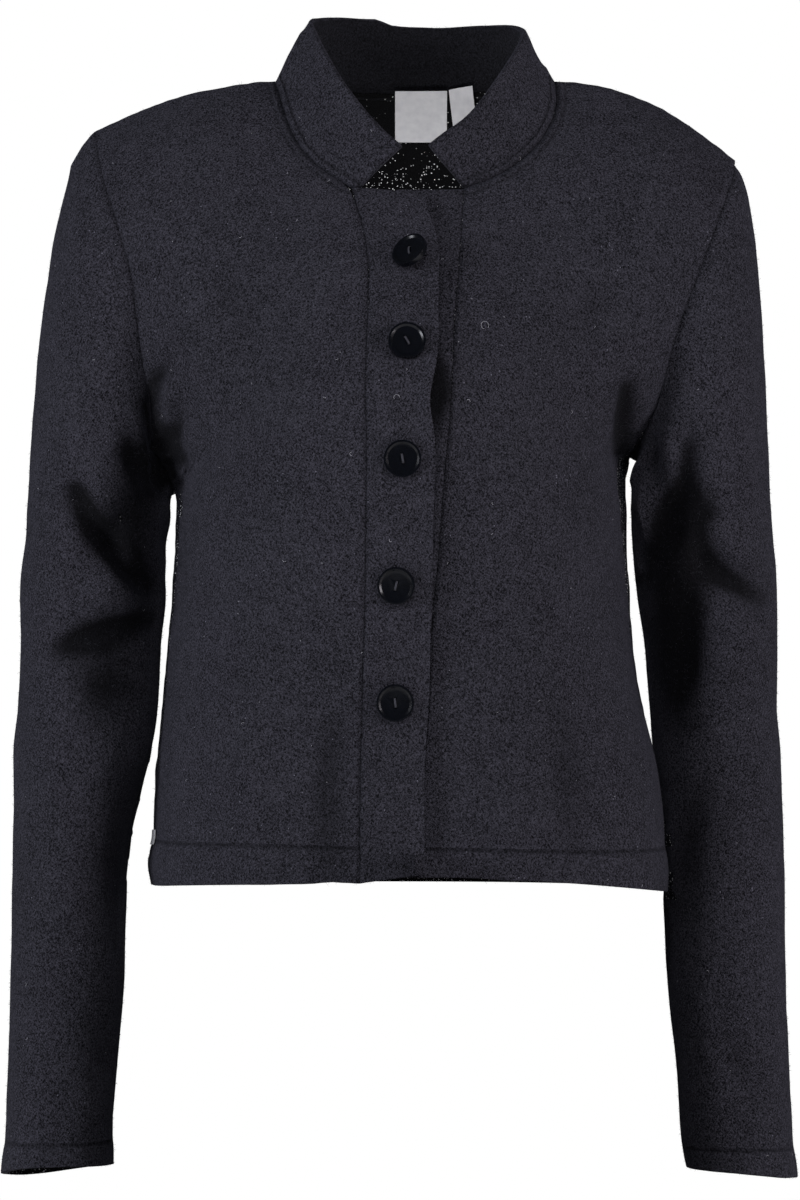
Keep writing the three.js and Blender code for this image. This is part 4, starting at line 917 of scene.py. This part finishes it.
def label_piece(node, material, wave):
    bm = merged(node)
    corner = [e for e in bm.edges if e.calc_face_angle(0) > SHARP]
    bmesh.ops.bevel(bm, geom=corner, offset=0.2 * MM, offset_type="OFFSET", segments=2,
                    profile=0.5, affect="EDGES", clamp_overlap=True)
    mesh = bpy.data.meshes.new(node + "_satin")
    bm.to_mesh(mesh)
    bm.free()
    obj = seat(bpy.data.objects.new(node + "_satin", mesh))
    smoothed(obj)
    for v in obj.data.vertices:
        v.co.y -= wave * MM * (0.5 + 0.5 * math.sin(v.co.x * 210 + v.co.z * 90))
    obj.data.polygons.foreach_set("use_smooth", [True] * len(obj.data.polygons))
    obj.data.materials.clear()
    obj.data.materials.append(material)
    print(node, "faces:", len(obj.data.polygons))
    return obj


satin_white = satin("woven satin, white", "#d2d1d8", "#f2f1f5", 2500.0)
satin_grey = satin("woven tab, grey", "#8d8d92", "#c9c9cc", 2500.0)
labels = {"neck_label": label_piece("neck_label", satin_white, 0.35),
          "size_label": label_piece("size_label", satin_white, 0.2),
          "side_label": label_piece("side_label", satin_grey, 0.1)}

# %% [markdown]
# ## Lint and loose fibres
# Dark wool shows every pale hair that lands on it. A few curls lie where they are plainly
# seen, and more are scattered all round. Each one is laid on the cloth by a ray that finds
# the surface. Short dark fibres stand off the felt everywhere, and soften its outline.

# %% Find the surface
def surface_tree(names):
    vertices, faces = [], []
    for name in names:
        mesh = cloth[name].data
        start = len(vertices)
        vertices += [v.co.copy() for v in mesh.vertices]
        faces += [[start + i for i in f.vertices] for f in mesh.polygons]
    return BVHTree.FromPolygons(vertices, faces)


surface = surface_tree(CLOTH_NODES)


def seen_at(column, row):
    """The cloth under a point of an 800 by 1200 picture."""
    target = Vector((camera.location.x + (column - 400) * VIEW_HEIGHT / 1200, 0.0,
                     camera.location.z + (600 - row) * VIEW_HEIGHT / 1200))
    place, normal, _, _ = surface.ray_cast(camera.location, target - camera.location)
    return place, normal


# %% Ribbons for fibres
def fibre_mesh(name, fibres, material):
    """fibres: lists of points, each with a half width; every fibre is a thin ribbon."""
    vertices, faces = [], []
    for points, normal, half in fibres:
        start = len(vertices)
        for i, p in enumerate(points):
            ahead = points[min(i + 1, len(points) - 1)] - points[max(i - 1, 0)]
            side = ahead.cross(normal)
            side = side.normalized() if side.length > 0 else Vector((1, 0, 0))
            taper = half * (1.0 if i < len(points) - 1 else 0.35)
            vertices += [p - side * taper, p + side * taper]
        for i in range(len(points) - 1):
            a = start + 2 * i
            faces.append((a, a + 1, a + 3, a + 2))
    mesh = bpy.data.meshes.new(name)
    mesh.from_pydata(vertices, [], faces)
    mesh.materials.append(material)
    obj = bpy.data.objects.new(name, mesh)
    scene.collection.objects.link(obj)
    print(name, "fibres:", len(fibres), "faces:", len(faces))
    return obj


def loose_fibre(name, colour):
    material, tree = new_material(name)
    place = add(tree, "ShaderNodeTexCoord")
    vary = add(tree, "ShaderNodeTexNoise", {"Vector": place.outputs["Object"], "Scale": 300.0})
    light = [min(1.0, c * 1.8) for c in linear(colour)[:3]] + [1.0]
    shade = add(tree, "ShaderNodeMix", {"Factor": vary.outputs["Fac"], 6: linear(colour),
                7: light}, data_type="RGBA")
    shader = add(tree, "ShaderNodeBsdfPrincipled", {
        "Base Color": shade.outputs[2], "Roughness": 0.7, "Sheen Weight": 0.3})
    add(tree, "ShaderNodeOutputMaterial", {"Surface": shader.outputs["BSDF"]})
    return material


FUZZ_HALF_WIDTH = 0.05 * MM
LINT_HALF_WIDTH = 0.075 * MM


def felt_fibres(names, count, seed):
    """Short fibres that stand off the outer face."""
    chance = random.Random(seed)
    fibres = []
    for name in names:
        mesh = cloth[name].data
        outer = [f for f in mesh.polygons if f.material_index == 0]
        areas = np.cumsum([f.area for f in outer])
        share = int(count * areas[-1] / total_outer)
        for _ in range(share):
            f = outer[int(np.searchsorted(areas, chance.random() * areas[-1]))]
            corners = [mesh.vertices[i].co for i in f.vertices]
            weights = [chance.random() for _ in corners]
            base = sum((c * w for c, w in zip(corners, weights)), Vector()) / sum(weights)
            lean = Vector((chance.gauss(0, 1), chance.gauss(0, 1), chance.gauss(0, 1)))
            lean = (lean - f.normal * lean.dot(f.normal)).normalized()
            length = (0.9 + 2.0 * chance.random() ** 2) * MM
            rise = 0.35 + 0.5 * chance.random()
            middle = base + (f.normal * rise + lean * 0.6) * length * 0.55
            tip = base + (f.normal * rise * 0.8 + lean * 1.1) * length
            fibres.append(([base, middle, tip], f.normal.copy(), FUZZ_HALF_WIDTH))
    return fibres


total_outer = sum(f.area for obj in cloth.values() for f in obj.data.polygons
                  if f.material_index == 0)
fibre_dark = loose_fibre("loose wool fibre, dark", "#2c2c34")
fibre_pale = loose_fibre("pale lint", "#a9a9b0")
fuzz_body = fibre_mesh("fuzz_body", felt_fibres(
    ["back", "front_right", "front_left", "collar", "placket_right"], 40000, 5), fibre_dark)
fuzz_sleeves = fibre_mesh("fuzz_sleeves", felt_fibres(
    ["sleeve_right", "sleeve_left"], 56000, 6), fibre_dark)

# %% Lint that shows from the front, and some all round
SCATTERED_LINT = 330
# column and row in the picture, radius in millimetres, sweep in degrees
PLAIN_LINT = [(488, 328, 3.0, 300), (400, 398, 2.6, 200), (438, 206, 1.2, 60),
              (520, 160, 2.0, 90), (372, 132, 1.4, 120), (300, 118, 1.3, 90),
              (232, 828, 1.2, 80), (470, 402, 1.6, 150), (505, 318, 2.0, 60),
              (352, 452, 1.6, 180), (560, 236, 1.4, 60), (612, 520, 1.6, 80),
              (300, 640, 1.2, 60), (540, 700, 1.4, 100), (95, 360, 1.4, 90),
              (700, 700, 1.3, 70)]


def curl(place, normal, radius, sweep, chance):
    """A loose hair lying in an arc on the cloth: radius in millimetres, sweep in degrees."""
    lift = normal.normalized()
    side = lift.cross(Vector((0.3, 0.2, 1))).normalized()
    other = lift.cross(side)
    start = chance.random() * 6.28
    steps = max(4, int(sweep / 24))
    points = []
    for i in range(steps + 1):
        a = start + math.radians(sweep) * i / steps
        r = radius * MM * (1.0 - 0.35 * i / steps)
        points.append(place + side * (math.cos(a) - math.cos(start)) * r
                      + other * (math.sin(a) - math.sin(start)) * r + lift * 0.32 * MM)
    return points, lift, LINT_HALF_WIDTH


chance = random.Random(11)
lint = []
for column, row, radius, sweep in PLAIN_LINT:
    place, normal = seen_at(column, row)
    if place is not None:
        lint.append(curl(place, normal, radius, sweep, chance))
for _ in range(SCATTERED_LINT):
    angle = chance.random() * 2 * math.pi
    height = -0.02 - 0.64 * chance.random()
    start = Vector((1.2 * math.cos(angle) + 0.36 * (chance.random() - 0.5),
                    1.2 * math.sin(angle), height))
    aim = Vector(((chance.random() - 0.5) * 0.4, 0.0, height)) - start
    place, normal, _, _ = surface.ray_cast(start, aim)
    if place is not None:
        lint.append(curl(place, normal, 0.5 + 1.3 * chance.random(), 30 + 110 * chance.random(),
                         chance))
lint_piece = fibre_mesh("lint", lint, fibre_pale)

# %% [markdown]
# ## What each piece rides on
# A garment has no joints, so every piece rides on the one body. Each cloth piece stands for
# its solid, which is hidden.

for name, obj in cloth.items():
    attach(obj, "root")
    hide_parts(name)
for node in buttons:
    for obj in (buttons[node], threads[node]):
        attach(obj, "root")
    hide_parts(node)
for name, obj in labels.items():
    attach(obj, "root")
    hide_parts(name)
for obj in (fuzz_body, fuzz_sleeves, lint_piece):
    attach(obj, "root")

# %% [markdown]
# ## Studio
# The floor is far below, because the garment hangs at the height of a standing wearer's
# shoulders. Two tall soft lights stand at either side, about 60 degrees from the front, so
# that the creases show. A wide one hangs high in front; it isn't mirrored in the buttons,
# which show only the two at the sides. A small lamp inside the neck lights the labels. The
# surroundings are white to the camera, and give a weak fill from behind.

# %% Floor, lights and surroundings
SHOULDER_HEIGHT = 1.42
FILL_STRENGTH = 0.035
bpy.ops.object.select_all(action="DESELECT")
bpy.ops.mesh.primitive_plane_add(size=12, location=(0, 0, -SHOULDER_HEIGHT))
floor = bpy.context.object
floor.name = "floor"
floor_paint, tree = new_material("matt pale floor paint")
place = add(tree, "ShaderNodeTexCoord")
cloud = add(tree, "ShaderNodeTexNoise", {"Vector": place.outputs["Object"], "Scale": 1.5})
shade = add(tree, "ShaderNodeMix", {"Factor": cloud.outputs["Fac"], 6: linear("#ecebea"),
            7: linear("#f3f2f1")}, data_type="RGBA")
shader = add(tree, "ShaderNodeBsdfPrincipled", {"Base Color": shade.outputs[2],
             "Roughness": 0.9})
add(tree, "ShaderNodeOutputMaterial", {"Surface": shader.outputs["BSDF"]})
floor.data.materials.append(floor_paint)


def soft_light(name, place, aim, wide, tall, power, tint):
    data = bpy.data.lights.new(name, "AREA")
    data.shape = "RECTANGLE"
    data.size = wide
    data.size_y = tall
    data.energy = power
    data.color = linear(tint)[:3]
    light = bpy.data.objects.new(name, data)
    light.location = place
    light.rotation_euler = (Vector(aim) - Vector(place)).to_track_quat("-Z", "Y").to_euler()
    scene.collection.objects.link(light)
    return light


soft_light("light_left", (-2.75, -1.6, 0.15), (0, 0, -0.3), 0.9, 1.6, 44, "#f4f6ff")
soft_light("light_right", (2.75, -1.6, 0.05), (0, 0, -0.3), 0.9, 1.6, 37, "#fdf8ff")
front_light = soft_light("light_front", (0.0, -2.8, 1.75), (0, 0, -0.2), 1.3, 0.8, 30,
                         "#ffffff")
front_light.visible_glossy = False
soft_light("light_neck", (0.01, -0.02, -0.095), (0.008, 0.057, -0.016), 0.03, 0.03, 0.046,
           "#ffffff")

# a black card below the hem keeps each side light off the inner side of the far sleeve
bpy.ops.object.select_all(action="DESELECT")
bpy.ops.mesh.primitive_plane_add(size=1, location=(0, 0, -0.96),
                                 rotation=(0, math.radians(90), 0))
card = bpy.context.object
card.name = "black_card"
bpy.ops.object.transform_apply(location=True, rotation=True, scale=True)
card_paint, tree = new_material("black felt card")
nap = add(tree, "ShaderNodeTexNoise", {"Scale": 400.0})
dark = add(tree, "ShaderNodeMix", {"Factor": nap.outputs["Fac"], 6: linear("#020202"),
           7: linear("#050505")}, data_type="RGBA")
shader = add(tree, "ShaderNodeBsdfPrincipled", {"Base Color": dark.outputs[2],
             "Roughness": 1.0})
add(tree, "ShaderNodeOutputMaterial", {"Surface": shader.outputs["BSDF"]})
card.data.materials.append(card_paint)
card.visible_camera = False

world = bpy.data.worlds.new("studio")
scene.world = world
world.use_nodes = True
tree = world.node_tree
tree.nodes.clear()
path = add(tree, "ShaderNodeLightPath")
fill = add(tree, "ShaderNodeBackground", {"Color": linear("#ffffff"),
           "Strength": FILL_STRENGTH})
white = add(tree, "ShaderNodeBackground", {"Color": linear("#ffffff"), "Strength": 1.0})
both = add(tree, "ShaderNodeMixShader", {0: path.outputs["Is Camera Ray"],
           1: fill.outputs[0], 2: white.outputs[0]})
add(tree, "ShaderNodeOutputWorld", {"Surface": both.outputs[0]})
